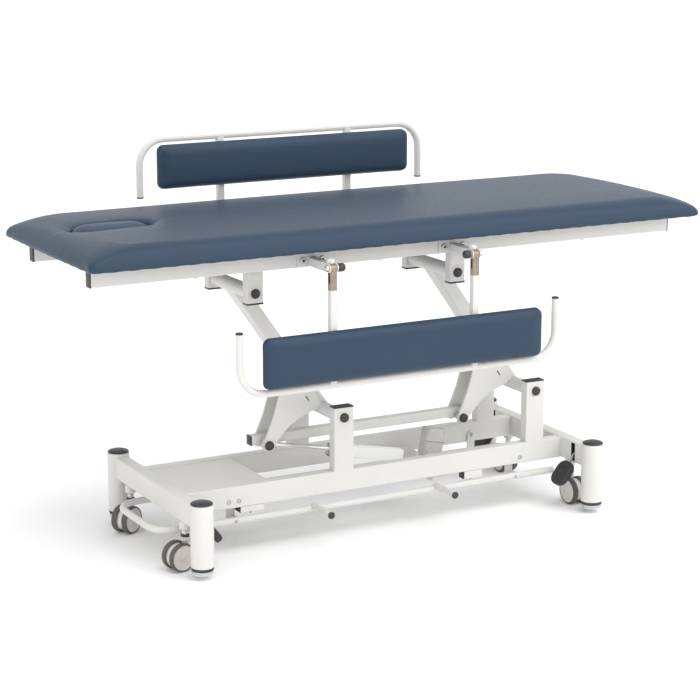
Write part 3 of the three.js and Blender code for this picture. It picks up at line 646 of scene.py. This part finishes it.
def housing(name, centre, along, up, start, stop, half_y, half_up):
    """Moulded sleeve round the motor end of the square tube, open inside for the rod."""
    bm = bmesh.new()
    loops = []
    inner = (0.0140, 0.0172)
    outer = (half_y, half_up)
    for t, (wide, tall), k in ((start, inner, 1.0), (start, outer, 0.95), (start + 0.0008, outer, 1.0),
                               (stop - 0.0008, outer, 1.0), (stop, outer, 0.95), (stop, inner, 1.0)):
        ring = rounded_ring(0, 0, wide * k, tall * k, 0.004, 0.0, 6, 10)
        loops.append([bm.verts.new(centre + along * t + Y * a + up * b) for a, b in ring])
    skin(bm, loops, closed=True)
    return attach(mesh_object(name, bm, "motor_plastic", None, 30), "actuator_body")


# ---- top frame
def top_frame():
    for side in SIDES:
        lo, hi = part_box(f"top_rail_{side}")
        for x, sign in ((lo.x, -1), (hi.x, 1)):
            x0, x1 = sorted((x - sign * 0.0008, x + sign * 0.0042))
            block(f"rail_cap_{side}_{'head' if sign < 0 else 'foot'}", (x0, lo.y - 0.0003, lo.z - 0.0003),
                  (x1, hi.y + 0.0003, hi.z + 0.0003), "top_frame", "black_plastic", 0.0018, 3)
        for i, x in enumerate((-0.62, -0.06, 0.62)):
            lathe(f"top_screw_{side}_{i}", [(0, 0), (0.007, 0), (0.007, 0.0025), (0.004, 0.004), (0, 0.004)],
                  Vector((x, (lo.y + hi.y) / 2, lo.z)), -Z, "top_frame", "steel", 24)
        for end in ENDS:
            hinge(side, end)


def hinge(side, end):
    """Flange bolts with black discs painted as the shade in their sockets, a round cap on each near stub, and the
    pull knob.
    """
    out = OUT_Y[side]
    socket = [(0, 0.0024), (0.0052, 0.0024), (0.0058, 0.0050), (0.0050, 0.0058), (0, 0.0046)]
    s_lo, s_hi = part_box(f"hinge_stub_{side}_{end}")
    x = (s_lo.x + s_hi.x) / 2
    z = joint_at(f"fold_{side}").z
    root = pick(*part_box(f"top_rail_{side}"), 1, out)
    face = root + out * 0.0045
    for i, dx in enumerate((-0.030, 0.030)):
        at = Vector((x + dx, face, z + 0.004))
        screw(f"flange_bolt_{side}_{end}_{i}", at, Y * out, "top_frame", 0.0094)
        # painted shade: a black disc fills each bolt's socket recess
        lathe(f"flange_socket_{side}_{end}_{i}", socket, at, Y * out, "top_frame", "black_plastic", 6, 20)
    if side == "near":
        button = [(0, -0.001), (0.0112, -0.001), (0.0120, 0.003), (0.0112, 0.0085), (0.0075, 0.0112),
                  (0, 0.0122)]
        top = Vector((x + 0.003, root + out * 0.104, z + 0.0112))
        lathe(f"stub_button_{end}", button, top, Z, "top_frame", "paint", 40)
    knob(side, end)


def knob(side, end):
    """Ribbed pull knob in place of the plain one."""
    lo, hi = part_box(f"plunger_{side}_{end}")
    inward = -OUT_X[end]
    start = lo.x if inward > 0 else hi.x
    origin = Vector((start, (lo.y + hi.y) / 2, (lo.z + hi.z) / 2))
    r, length, ribs = KNOB_R, hi.x - lo.x, 18
    bm = bmesh.new()
    rings = []
    profile = ((0.0, 0.78), (0.0006, 1.0), (0.0125, 1.0), (0.0155, 0.94), (0.0182, 0.76), (0.0195, 0.50),
               (length, 0.20))
    sides = ribs * 4
    for h, k in profile:
        ring = []
        for i in range(sides):
            a = 2 * math.pi * i / sides
            rib = 1.0 - (0.06 if i % 4 in (2, 3) and 0.0003 < h < 0.014 else 0.0)
            around = Y * (r * k * rib * math.cos(a)) + Z * (r * k * rib * math.sin(a))
            ring.append(bm.verts.new(origin + X * (inward * h) + around))
        rings.append(ring)
    for a, b in zip(rings, rings[1:]):
        for i in range(sides):
            j = (i + 1) % sides
            bm.faces.new((a[i], b[i], b[j], a[j]))
    bm.faces.new(rings[0])
    bm.faces.new(list(reversed(rings[-1])))
    piece = mesh_object(f"knob_{side}_{end}", bm, "black_plastic", None, 30)
    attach(piece, f"lock_{side}_{end}")
    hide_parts(f"plunger_{side}_{end}")


# ---- upholstery
def rounded_ring(cx, cy, half_x, half_y, radius, bulge, per_corner=10, run=60):
    """Evenly stepped outline of a rounded rectangle whose two ends swell a little."""
    points = []
    corners = ((1, 1), (-1, 1), (-1, -1), (1, -1))
    for i, (sx, sy) in enumerate(corners):
        for k in range(per_corner + 1):
            a = math.radians(90 * i + 90 * k / per_corner)
            points.append((sx * (half_x - bulge - radius) + radius * math.cos(a),
                           sy * (half_y - radius) + radius * math.sin(a)))
        nx, ny = corners[(i + 1) % 4]
        a0 = points[-1]
        if nx != sx:
            target = (nx * (half_x - bulge - radius), a0[1])
            for k in range(1, run):
                t = k / run
                points.append((a0[0] + (target[0] - a0[0]) * t, a0[1]))
        else:
            target = (a0[0], ny * (half_y - radius))
            steps = max(run // 3, 8)
            for k in range(1, steps):
                t = k / steps
                y = a0[1] + (target[1] - a0[1]) * t
                swell = bulge * (1 - (y / (half_y - radius)) ** 2)
                points.append((a0[0] + sx * swell, y))
    return [(cx + px, cy + py) for px, py in points]


def middle_and_half(lo, hi, i=0, j=1):
    """Middle and half sizes of a box along two of its axes."""
    return (lo[i] + hi[i]) / 2, (lo[j] + hi[j]) / 2, (hi[i] - lo[i]) / 2, (hi[j] - lo[j]) / 2


def fan_cap(bm, loop):
    """Closes a loop of vertices with a fan about its middle."""
    centre = bm.verts.new(sum((v.co for v in loop), Vector()) / len(loop))
    for a, b in zip(loop, loop[1:] + loop[:1]):
        bm.faces.new((a, b, centre))


def cover(name, bm, loops):
    """Closed vinyl cover through the loops, with a fan over each end."""
    skin(bm, loops)
    fan_cap(bm, list(reversed(loops[0])))
    fan_cap(bm, loops[-1])
    return mesh_object(name, bm, "vinyl", None, 180)


# cover profile from the underside round to the crown:
# inset from the long sides, inset from the ends, rise, corner radius
MATTRESS_EDGE = (
    (0.097, 0.040, 0.0000, 0.004), (0.088, 0.034, -0.0015, 0.006), (0.070, 0.028, -0.0028, 0.008),
    (0.010, 0.007, -0.0042, 0.010), (0.0025, 0.0015, -0.0030, 0.012), (0.0, 0.0, 0.0010, 0.014),
    (0.0, 0.0, 0.0065, 0.017), (0.0, 0.0, 0.0130, 0.020), (0.0018, 0.0025, 0.0195, 0.024),
    (0.0055, 0.0080, 0.0252, 0.029), (0.0120, 0.0190, 0.0318, 0.036), (0.0200, 0.0340, 0.0385, 0.045),
    (0.0285, 0.0530, 0.0455, 0.054), (0.0380, 0.0740, 0.0520, 0.062), (0.0510, 0.0980, 0.0567, 0.068),
    (0.0720, 0.1240, 0.0592, 0.072), (0.1050, 0.1580, 0.0608, 0.074), (0.1500, 0.2050, 0.0620, 0.066),
    (0.2100, 0.2600, 0.0630, 0.050), (0.2700, 0.3200, 0.0635, 0.030),
)


def mattress_shell(name):
    lo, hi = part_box("mattress")
    cx, cy, half_x, half_y = middle_and_half(lo, hi)
    half_x, half_y = half_x + 0.003, half_y + 0.001
    bed = mattress_bed()
    bm = bmesh.new()
    loops = []
    for side, end, rise, radius in MATTRESS_EDGE:
        bulge = 0.006 * max(1 - end / 0.12, 0)
        ring = rounded_ring(cx, cy, half_x - end, half_y - side, radius, bulge)
        loops.append([bm.verts.new(Vector((x, y, bed + rise))) for x, y in ring])
    return cover(name, bm, loops)


def mattress_bed():
    """Height of the board under the mattress: just above the top rails."""
    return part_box("top_rail_near")[1].z + 0.0003


def hole_cutter(shrink, z0, z1):
    lo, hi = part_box("face_plug")
    cx, cy, half_x, half_y = middle_and_half(lo, hi)
    half_x, half_y = half_x - shrink, half_y - shrink
    ring = rounded_ring(cx, cy, half_x, half_y, half_y * 0.93, 0.0, 14, 12)
    bm = bmesh.new()
    low = [bm.verts.new(Vector((x, y, z0))) for x, y in ring]
    high = [bm.verts.new(Vector((x, y, z1))) for x, y in ring]
    skin(bm, [low, high], ends=True)
    return mesh_object("hole_cutter", bm, "vinyl", None, 60)


def activate(piece):
    for other in bpy.context.selected_objects:
        other.select_set(False)
    piece.select_set(True)
    bpy.context.view_layer.objects.active = piece


def apply_modifiers(piece):
    activate(piece)
    for modifier in list(piece.modifiers):
        bpy.ops.object.modifier_apply(modifier=modifier.name)


def voxel(piece, size):
    remesh = piece.modifiers.new("voxel", "REMESH")
    remesh.mode = "VOXEL"
    remesh.voxel_size = size
    apply_modifiers(piece)
    smooth_faces(piece)


def inflate(piece, pressure, cap, pinned, frames=20, stiffness=15.0):
    """Swells a closed cover over its foam with a short cloth simulation, then keeps the shape."""
    before = [v.co.copy() for v in piece.data.vertices]
    group = piece.vertex_groups.new(name="pins")
    for vert in piece.data.vertices:
        weight = pinned(vert.co)
        if weight > 0:
            group.add([vert.index], weight, "REPLACE")
    cloth = piece.modifiers.new("cover", "CLOTH")
    settings = cloth.settings
    values = dict(quality=4, mass=0.35, tension_stiffness=stiffness, compression_stiffness=stiffness,
                  shear_stiffness=5.0, bending_stiffness=0.8, use_pressure=True,
                  uniform_pressure_force=pressure, vertex_group_mass="pins")
    for key, value in values.items():
        setattr(settings, key, value)
    settings.effector_weights.gravity = 0.0
    cloth.collision_settings.use_self_collision = False
    cloth.point_cache.frame_start = 1
    cloth.point_cache.frame_end = frames
    for step in range(1, frames + 1):
        bpy.context.scene.frame_set(step)
    shaped = piece.evaluated_get(bpy.context.evaluated_depsgraph_get())
    after = [v.co.copy() for v in shaped.data.vertices]
    piece.modifiers.remove(cloth)
    piece.vertex_groups.remove(group)
    for vert, old, new in zip(piece.data.vertices, before, after):
        move = new - old
        if move.length > cap:
            move.length = cap
        vert.co = old + move
    bpy.context.scene.frame_set(1)


def staples(lo, hi):
    """Pins the cover in short runs along its lower edge, as staples do."""
    bed = mattress_bed()

    def pinned(co):
        inward = min(co.y - lo.y, hi.y - co.y, (co.x - lo.x) * 0.55, (hi.x - co.x) * 0.55)
        if co.z > bed + 0.03:
            return min(max((inward - 0.05) / 0.1, 0.0), 0.9)
        if co.z > bed:
            return 0.0
        along = co.x if min(co.y - lo.y, hi.y - co.y) < min(co.x - lo.x, hi.x - co.x) else co.y
        phase = (along / STAPLE_PITCH) % 1.0
        return 1.0 if phase < 0.45 or min(co.y - lo.y, hi.y - co.y, co.x - lo.x, hi.x - co.x) > 0.03 else 0.35
    return pinned


def mattress():
    lo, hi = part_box("mattress")
    piece = mattress_shell("mattress_cover")
    cutter = hole_cutter(-0.0005, lo.z - 0.03, hi.z + 0.03)
    cut = piece.modifiers.new("hole", "BOOLEAN")
    cut.operation = "DIFFERENCE"
    cut.object = cutter
    cut.solver = "EXACT"
    apply_modifiers(piece)
    bpy.data.objects.remove(cutter)
    voxel(piece, MATTRESS_VOXEL)
    inflate(piece, 1.2, VINYL_CAP, staples(lo, hi), 14)
    soften(piece, 4)
    dimple_hole(piece)
    hems(piece, lo, hi)
    clamp_box(piece, lo, hi, 0.004)
    smooth_once(piece)
    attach(piece, "top_frame")
    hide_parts("mattress")


def soften(piece, rounds):
    activate(piece)
    relax = piece.modifiers.new("relax", "SMOOTH")
    relax.factor = 0.5
    relax.iterations = rounds
    apply_modifiers(piece)


def smooth_once(piece):
    finer = piece.modifiers.new("finer", "SUBSURF")
    finer.levels = 1
    finer.render_levels = 1
    apply_modifiers(piece)
    smooth_faces(piece)


def clamp_box(piece, lo, hi, slack):
    for vert in piece.data.vertices:
        for axis in range(3):
            vert.co[axis] = min(max(vert.co[axis], lo[axis] - slack), hi[axis] + slack)


def dimple_hole(piece):
    """The cover dips toward the face hole and puckers at its two ends."""
    cx, cy, half_x, half_y = middle_and_half(*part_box("face_plug"))
    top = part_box("mattress")[1].z
    for vert in piece.data.vertices:
        if vert.co.z < top - 0.03:
            continue
        dx, dy = abs(vert.co.x - cx), abs(vert.co.y - cy)
        ex, ey = max(dx - (half_x - half_y), 0), dy
        away = max(math.hypot(ex, ey) - half_y, 0)
        far_side = vert.co.y > cy
        dip = (0.0090 if far_side else 0.0055) * math.exp(-away / 0.032)
        tip = math.hypot(dx - half_x - 0.004, dy)
        dip += 0.0035 * math.exp(-(tip / 0.018) ** 2)
        angle = math.atan2(vert.co.y - cy, dx - half_x + 0.02)
        dip += 0.0012 * math.cos(angle * 9) * math.exp(-(tip / 0.035) ** 2)
        vert.co.z -= dip


def hems(piece, lo, hi):
    """Small scallops where the cover is pulled under its board."""
    for vert in piece.data.vertices:
        gap = vert.co.z - mattress_bed() + 0.006
        if gap > 0.014:
            continue
        x_edge = min(vert.co.x - lo.x, hi.x - vert.co.x)
        y_edge = min(vert.co.y - lo.y, hi.y - vert.co.y)
        if min(x_edge, y_edge) > 0.04:
            continue
        along = vert.co.x if y_edge < x_edge else vert.co.y
        turns = along * 2 * math.pi
        wave = math.sin(turns / STAPLE_PITCH) + 0.6 * math.sin(turns / 0.021 + 1.3)
        vert.co.z += 0.0009 * wave * (1 - gap / 0.014)


def face_plug():
    """Loose lens-shaped cushion in the face hole, higher along its far side, pinched at its two tips."""
    lo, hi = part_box("face_plug")
    cx, cy, half_x, half_y = middle_and_half(lo, hi)
    tall = hi.z - lo.z
    profile = ((0.012, 0.0), (0.004, 0.02), (0.0008, 0.08), (0.0, 0.20), (0.0, 0.54), (0.0010, 0.66),
               (0.0050, 0.78), (0.0120, 0.87), (0.0230, 0.94), (0.0360, 0.98), (0.050, 1.0))
    bm = bmesh.new()
    loops = []
    for inset, rise in profile:
        hx, hy = half_x - inset, half_y - inset
        ring = rounded_ring(cx, cy, hx, hy, hy * 0.93, 0.0, 14, 16)
        loops.append([bm.verts.new(Vector((x, y, lo.z + rise * tall))) for x, y in ring])
    piece = cover("face_plug_cover", bm, loops)
    voxel(piece, PLUG_VOXEL)
    inflate(piece, 3.0, PLUG_CAP, lambda co: 1.0 if co.z < lo.z + 0.02 else 0.0, 14)
    soften(piece, 3)
    for vert in piece.data.vertices:
        high = max((vert.co.z - lo.z) / tall - 0.3, 0) / 0.7
        along, across = (vert.co.x - cx) / half_x, (vert.co.y - cy) / half_y
        vert.co.z += high * 0.0062 * (across + 0.35)
        vert.co.z -= high * 0.0060 * max(abs(along) - 0.45, 0) ** 2 / 0.3
        pucker = math.cos(math.atan2(across, 1.12 - abs(along)) * 11)
        vert.co.z += high * 0.0010 * pucker * max(abs(along) - 0.55, 0) / 0.45
    clamp_box(piece, lo, hi, 0.0035)
    smooth_once(piece)
    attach(piece, "face_insert")
    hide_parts("face_plug")


def pad_shell(name, lo, hi):
    """Padded panel: flat board at the back, rounded cushion in front, facing -Y."""
    cx, cz, half_x, half_z = middle_and_half(lo, hi, 0, 2)
    deep = hi.y - lo.y
    profile = ((0.012, 0.0), (0.004, 0.02), (0.0008, 0.10), (0.0, 0.25), (0.0, 0.44), (0.0012, 0.62),
               (0.0045, 0.78), (0.0110, 0.89), (0.0205, 0.953), (0.0330, 0.984), (0.048, 1.0))
    bm = bmesh.new()
    loops = []
    for inset, rise in profile:
        radius = max(PAD_CORNER - inset, 0.003)
        ring = rounded_ring(cx, cz, half_x - inset, half_z - inset, radius, 0.0, 8, 70)
        loops.append([bm.verts.new(Vector((x, hi.y - rise * deep, z))) for x, z in ring])
    return cover(name, bm, loops)


def rail_pads():
    for side in SIDES:
        lo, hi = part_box(f"rail_pad_{side}")
        pad = pad_shell(f"pad_cover_{side}", lo, hi)
        voxel(pad, PAD_VOXEL)
        board = hi.y - 0.006
        inflate(pad, 1.2, PAD_CAP, lambda co: 1.0 if co.y > board else 0.0, 16)
        soften(pad, 3)
        clamp_box(pad, lo, hi, 0.003)
        smooth_once(pad)
        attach(pad, f"side_rail_{side}")
        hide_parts(f"rail_pad_{side}")
        piping(side, lo, hi)


def piping(side, lo, hi):
    """Welt round the back edge of the panel, where the cover meets its board."""
    inset = 0.0016
    back = hi.y - 0.0058
    cx, cz, half_x, half_z = middle_and_half(lo, hi, 0, 2)
    ring = rounded_ring(cx, cz, half_x - inset, half_z - inset, PAD_CORNER - inset, 0.0, 8, 70)
    points = [Vector((x, back, z)) for x, z in ring]
    sweep(f"pad_welt_{side}", points, 0.0014, f"side_rail_{side}", "vinyl", 8, True)


# ---- side rails
def rail_caps():
    """Black plugs in the open ends of the two side rail tubes."""
    plug = [(0, -0.0016), (0.0106, -0.0016), (0.0106, 0.0014), (0.0088, 0.0028), (0, 0.0032)]
    for side in SIDES:
        lo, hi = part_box(f"rail_frame_{side}")
        y = (lo.y + hi.y) / 2
        raised = side == "far"
        pivot = joint_at(f"fold_{side}").z
        end_z = pivot - RAISED_DROP + RAIL_END["far"] if raised else pivot - RAIL_END["near"]
        direction = -Z if raised else Z
        for i, x in enumerate((lo.x + RAIL_R, hi.x - RAIL_R)):
            lathe(f"tube_end_{side}_{i}", plug, Vector((x, y, end_z)), direction,
                  f"side_rail_{side}", "black_plastic", 32)


# ---- castors
def castors():
    for side in SIDES:
        for end in ENDS:
            castor(f"{side}_{end}")


def castor(name):
    stem = joint_at(f"swivel_{name}")
    axle = joint_at(f"roll_{name}")
    spin = Vector(joints[f"roll_{name}"]["axis"]).normalized()
    body = f"castor_{name}"
    ring_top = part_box(f"castor_fork_{name}")[1].z
    at = Vector((stem.x, stem.y, ring_top))
    ring = [(0, -0.008), (0.0105, -0.008), (0.0118, -0.0065), (0.0118, -0.0015), (0.0095, 0), (0, 0)]
    pin = [(0, 0.0004), (0.0078, 0.0004), (0.0078, 0.0035), (0.0092, 0.005), (0.0092, 0.010),
           (0.0078, 0.0115), (0.0078, 0.0155), (0, 0.0155)]
    lathe(f"castor_ring_{name}", ring, at, Z, body, "black_plastic", 40)
    lathe(f"castor_pin_{name}", pin, at, Z, "base", "chrome", 40)
    fork_hood(name, stem, axle, spin, body, ring_top)
    wheel_pair(name, axle, spin)


def fork_hood(name, stem, axle, spin, body, top):
    """Rounded cover between the two wheels, with the neck that holds the stem."""
    trail = Vector((axle.x - stem.x, axle.y - stem.y, 0))
    forward = trail.normalized()
    half = 0.0083
    outline = []
    for i in range(37):
        a = math.radians(-38 + 256 * i / 36)
        outline.append((0.0345 * math.cos(a), 0.0345 * math.sin(a)))
    outline += [(-0.022, -0.014), (0.020, -0.014)]
    bm = bmesh.new()
    layers = []
    for offset, k in ((-half, 0.94), (-half * 0.8, 1.0), (half * 0.8, 1.0), (half, 0.94)):
        middle = axle + spin * offset
        layers.append([bm.verts.new(middle + forward * (a * k) + Z * (b * k)) for a, b in outline])
    skin(bm, layers, ends=True)
    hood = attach(mesh_object(f"castor_hood_{name}", bm, "castor_body", None, 40), body)
    base = Vector((stem.x, stem.y, 0))
    neck = [(0, top - 0.030), (0.0086, top - 0.030), (0.0090, top - 0.022), (0.0125, top - 0.0185),
            (0.0135, top - 0.014), (0.0130, top - 0.0085), (0.0108, top - 0.0072), (0, top - 0.0072)]
    lathe(f"castor_neck_{name}", neck, base, Z, body, "castor_body", 40)
    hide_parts(f"castor_fork_{name}")


def wheel_pair(name, axle, spin):
    """Two wheels on one axle, each a tyre round a dished hub."""
    body = f"wheels_{name}"
    tread = [(0.0350, 0.0098), (0.0362, 0.0092), (0.0385, 0.0094), (0.0398, 0.0115), (WHEEL_R, 0.0150),
             (WHEEL_R, 0.0212), (0.0395, 0.0246), (0.0383, 0.0264), (0.0370, 0.0270), (0.0354, 0.0268),
             (0.0349, 0.0258)]
    hub = [(0, 0.0092), (0.0350, 0.0092), (0.0352, 0.0255), (0.0342, 0.0264), (0.0324, 0.0252),
           (0.0250, 0.0222), (0.0160, 0.0210), (0.0085, 0.0214), (0.0060, 0.0232), (0, 0.0238)]
    shaft = [(0, -0.0095), (0.0058, -0.0095), (0.0058, 0.0095), (0, 0.0095)]
    first = None
    for s in (-1, 1):
        tyre = ring_lathe(f"tyre_{name}_{s + 1}", tread, axle, spin * s, body, "tyre", 64)
        lathe(f"hub_{name}_{s + 1}", hub, axle, spin * s, body, "castor_body", 64)
        first = first or tyre
    lathe(f"axle_{name}", shaft, axle, spin, body, "steel", 24)
    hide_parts(f"castor_wheels_{name}")


def ring_lathe(name, loop, origin, axis, body, slot, segments):
    """Closed ring: the profile returns to its first point."""
    axis = Vector(axis).normalized()
    side = axis.orthogonal().normalized()
    third = axis.cross(side)
    bm = bmesh.new()
    rings = []
    for i in range(segments):
        a = 2 * math.pi * i / segments
        radial = side * math.cos(a) + third * math.sin(a)
        rings.append([bm.verts.new(origin + radial * r + axis * h) for r, h in loop])
    skin(bm, rings, closed=True)
    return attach(mesh_object(name, bm, slot, None, 40), body)


# ---- pedals and switch bar
def pedals():
    for end in ENDS:
        pivot = joint_at(f"pedal_{end}")
        for side in SIDES:
            pedal(side, end, pivot)


def pedal(side, end, pivot):
    """Moulded rubber pad with raised treads and a crowned face on the steel lever."""
    lo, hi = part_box(f"pedal_{side}_{end}")
    y = (lo.y + hi.y) / 2
    inward = -OUT_X[end]
    down = Vector((inward * 0.0564, 0, -0.072)).normalized()
    centre = Vector((pivot.x, y, pivot.z)) + down * PEDAL_REACH
    face = Y.cross(down).normalized()
    if face.z < 0:
        face = -face
    half_long, half_wide, half_thick = 0.0395, 0.0328, 0.0100
    ring = rounded_ring(0, 0, half_long, half_wide, 0.0275, 0.0, 12, 10)
    bm = bmesh.new()
    loops = []
    profile = ((-1.0, 0.90), (-0.80, 0.97), (-0.45, 1.0), (0.45, 1.0), (0.78, 0.965), (0.95, 0.88),
               (1.0, 0.62), (1.04, 0.2))
    for h, k in profile:
        rise = face * (half_thick * h)
        loops.append([bm.verts.new(centre + down * (a * k) + Y * (b * k) + rise) for a, b in ring])
    skin(bm, loops, ends=True)
    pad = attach(mesh_object(f"pedal_pad_{side}_{end}", bm, "rubber", None, 50), f"pedals_{end}")
    for i in range(4):
        t = -0.021 + i * 0.014
        span = 0.020 - abs(t) * 0.25
        bead = [centre + down * t + Y * (span * k) + face * half_thick for k in (-1, -0.5, 0, 0.5, 1)]
        sweep(f"pedal_tread_{side}_{end}_{i}", bead, 0.0014, f"pedals_{end}", "rubber", 10)
    tip = PEDAL_REACH - 0.028
    outline = [(-0.005, -0.0045), (tip, -0.0045), (tip, 0.0045), (-0.005, 0.0045)]
    origin = Vector((pivot.x, y + 0.003, pivot.z))
    thick = 0.006 if down.cross(face).y < 0 else -0.006
    plate(f"pedal_lever_{side}_{end}", outline, origin, down, face, thick, f"pedals_{end}", "steel", 0.0006)
    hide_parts(f"pedal_{side}_{end}")


def switch_bar():
    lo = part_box("foot_bar")[0]
    cap = [(0, -0.0010), (0.0103, -0.0010), (0.0103, 0.0022), (0.0086, 0.0040), (0, 0.0046)]
    for i, x in enumerate(PEG_X):
        lathe(f"peg_cap_{i}", cap, Vector((x, lo.y, 0.106)), -Y, "switch_bar", "black_plastic", 32)
    for side in SIDES:
        out = OUT_Y[side]
        for i, x in enumerate(HANGER_X[side]):
            bar_at = Vector((x, BASE_Y + out * 0.160, 0.099))
            strap_at = Vector((x, BASE_Y + out * 0.117, 0.160))
            screw(f"bar_screw_{side}_{i}", bar_at, Y * out, "switch_bar", 0.0045)
            screw(f"strap_bolt_{side}_{i}", strap_at, Y * -out, "switch_bar", 0.0070)


# ---- room
def room():
    bm = bmesh.new()
    bmesh.ops.create_grid(bm, x_segments=2, y_segments=2, size=30)
    mesh = bpy.data.meshes.new("floor")
    bm.to_mesh(mesh)
    bm.free()
    floor = bpy.data.objects.new("floor", mesh)
    bpy.context.scene.collection.objects.link(floor)
    material, tree, shader, coords = new_material("floor")
    pale = tint(tree, noise(tree, coords, 2.0), (0.93, 0.93, 0.93), (0.95, 0.95, 0.95))
    link(tree, pale, shader.inputs["Base Color"])
    shader.inputs["Roughness"].default_value = 0.9
    shader.inputs["Specular IOR Level"].default_value = 0.1
    mesh.materials.append(material)

    world = bpy.data.worlds.new("studio")
    bpy.context.scene.world = world
    world.use_nodes = True
    world.node_tree.nodes["Background"].inputs["Color"].default_value = (1.0, 1.0, 1.0, 1)
    world.node_tree.nodes["Background"].inputs["Strength"].default_value = 0.98
    overhead("key", (0.15, -0.42, 1.0), 1.15, 45)
    area("strip", (2.4, -3.1, 4.0), (0, -0.3, 0.9), (4.5, 0.5), 36)
    area("band", (1.9, -3.6, 2.1), (0, -0.3, 0.9), (4.0, 0.22), 28)
    area("side", (-3.6, -1.6, 1.1), (0, 0, 0.5), (2.0, 1.4), 13)


def overhead(name, direction, strength, spread):
    """Very wide sun: one large soft light above and a little in front."""
    light = bpy.data.lights.new(name, "SUN")
    light.energy = strength
    light.angle = math.radians(spread)
    hang(light, Vector(direction) * 4, -Vector(direction))


def area(name, at, target, size, power):
    light = bpy.data.lights.new(name, "AREA")
    light.shape = "RECTANGLE"
    light.size, light.size_y = size
    light.energy = power
    hang(light, at, Vector(target) - Vector(at))


def hang(light, at, toward):
    holder = bpy.data.objects.new(light.name, light)
    bpy.context.scene.collection.objects.link(holder)
    holder.location = at
    holder.rotation_euler = toward.to_track_quat("-Z", "Y").to_euler()


def camera():
    lens = bpy.data.cameras.new("camera")
    lens.lens = 107.06
    lens.sensor_width = 36.0
    lens.clip_end = 100
    holder = bpy.data.objects.new("camera", lens)
    bpy.context.scene.collection.objects.link(holder)
    holder.location = (-2.84415, -5.16214, 1.87383)
    holder.rotation_euler = (math.radians(90 - 13.0696), 0, math.radians(-28.4551))
    bpy.context.scene.camera = holder
    bpy.context.scene.view_settings.view_transform = "Standard"


# ---- assembly
camera()
room()
dress_cad()
posts()
base_details()
lift_details()
actuator()
top_frame()
mattress()
face_plug()
rail_pads()
rail_caps()
castors()
pedals()
switch_bar()
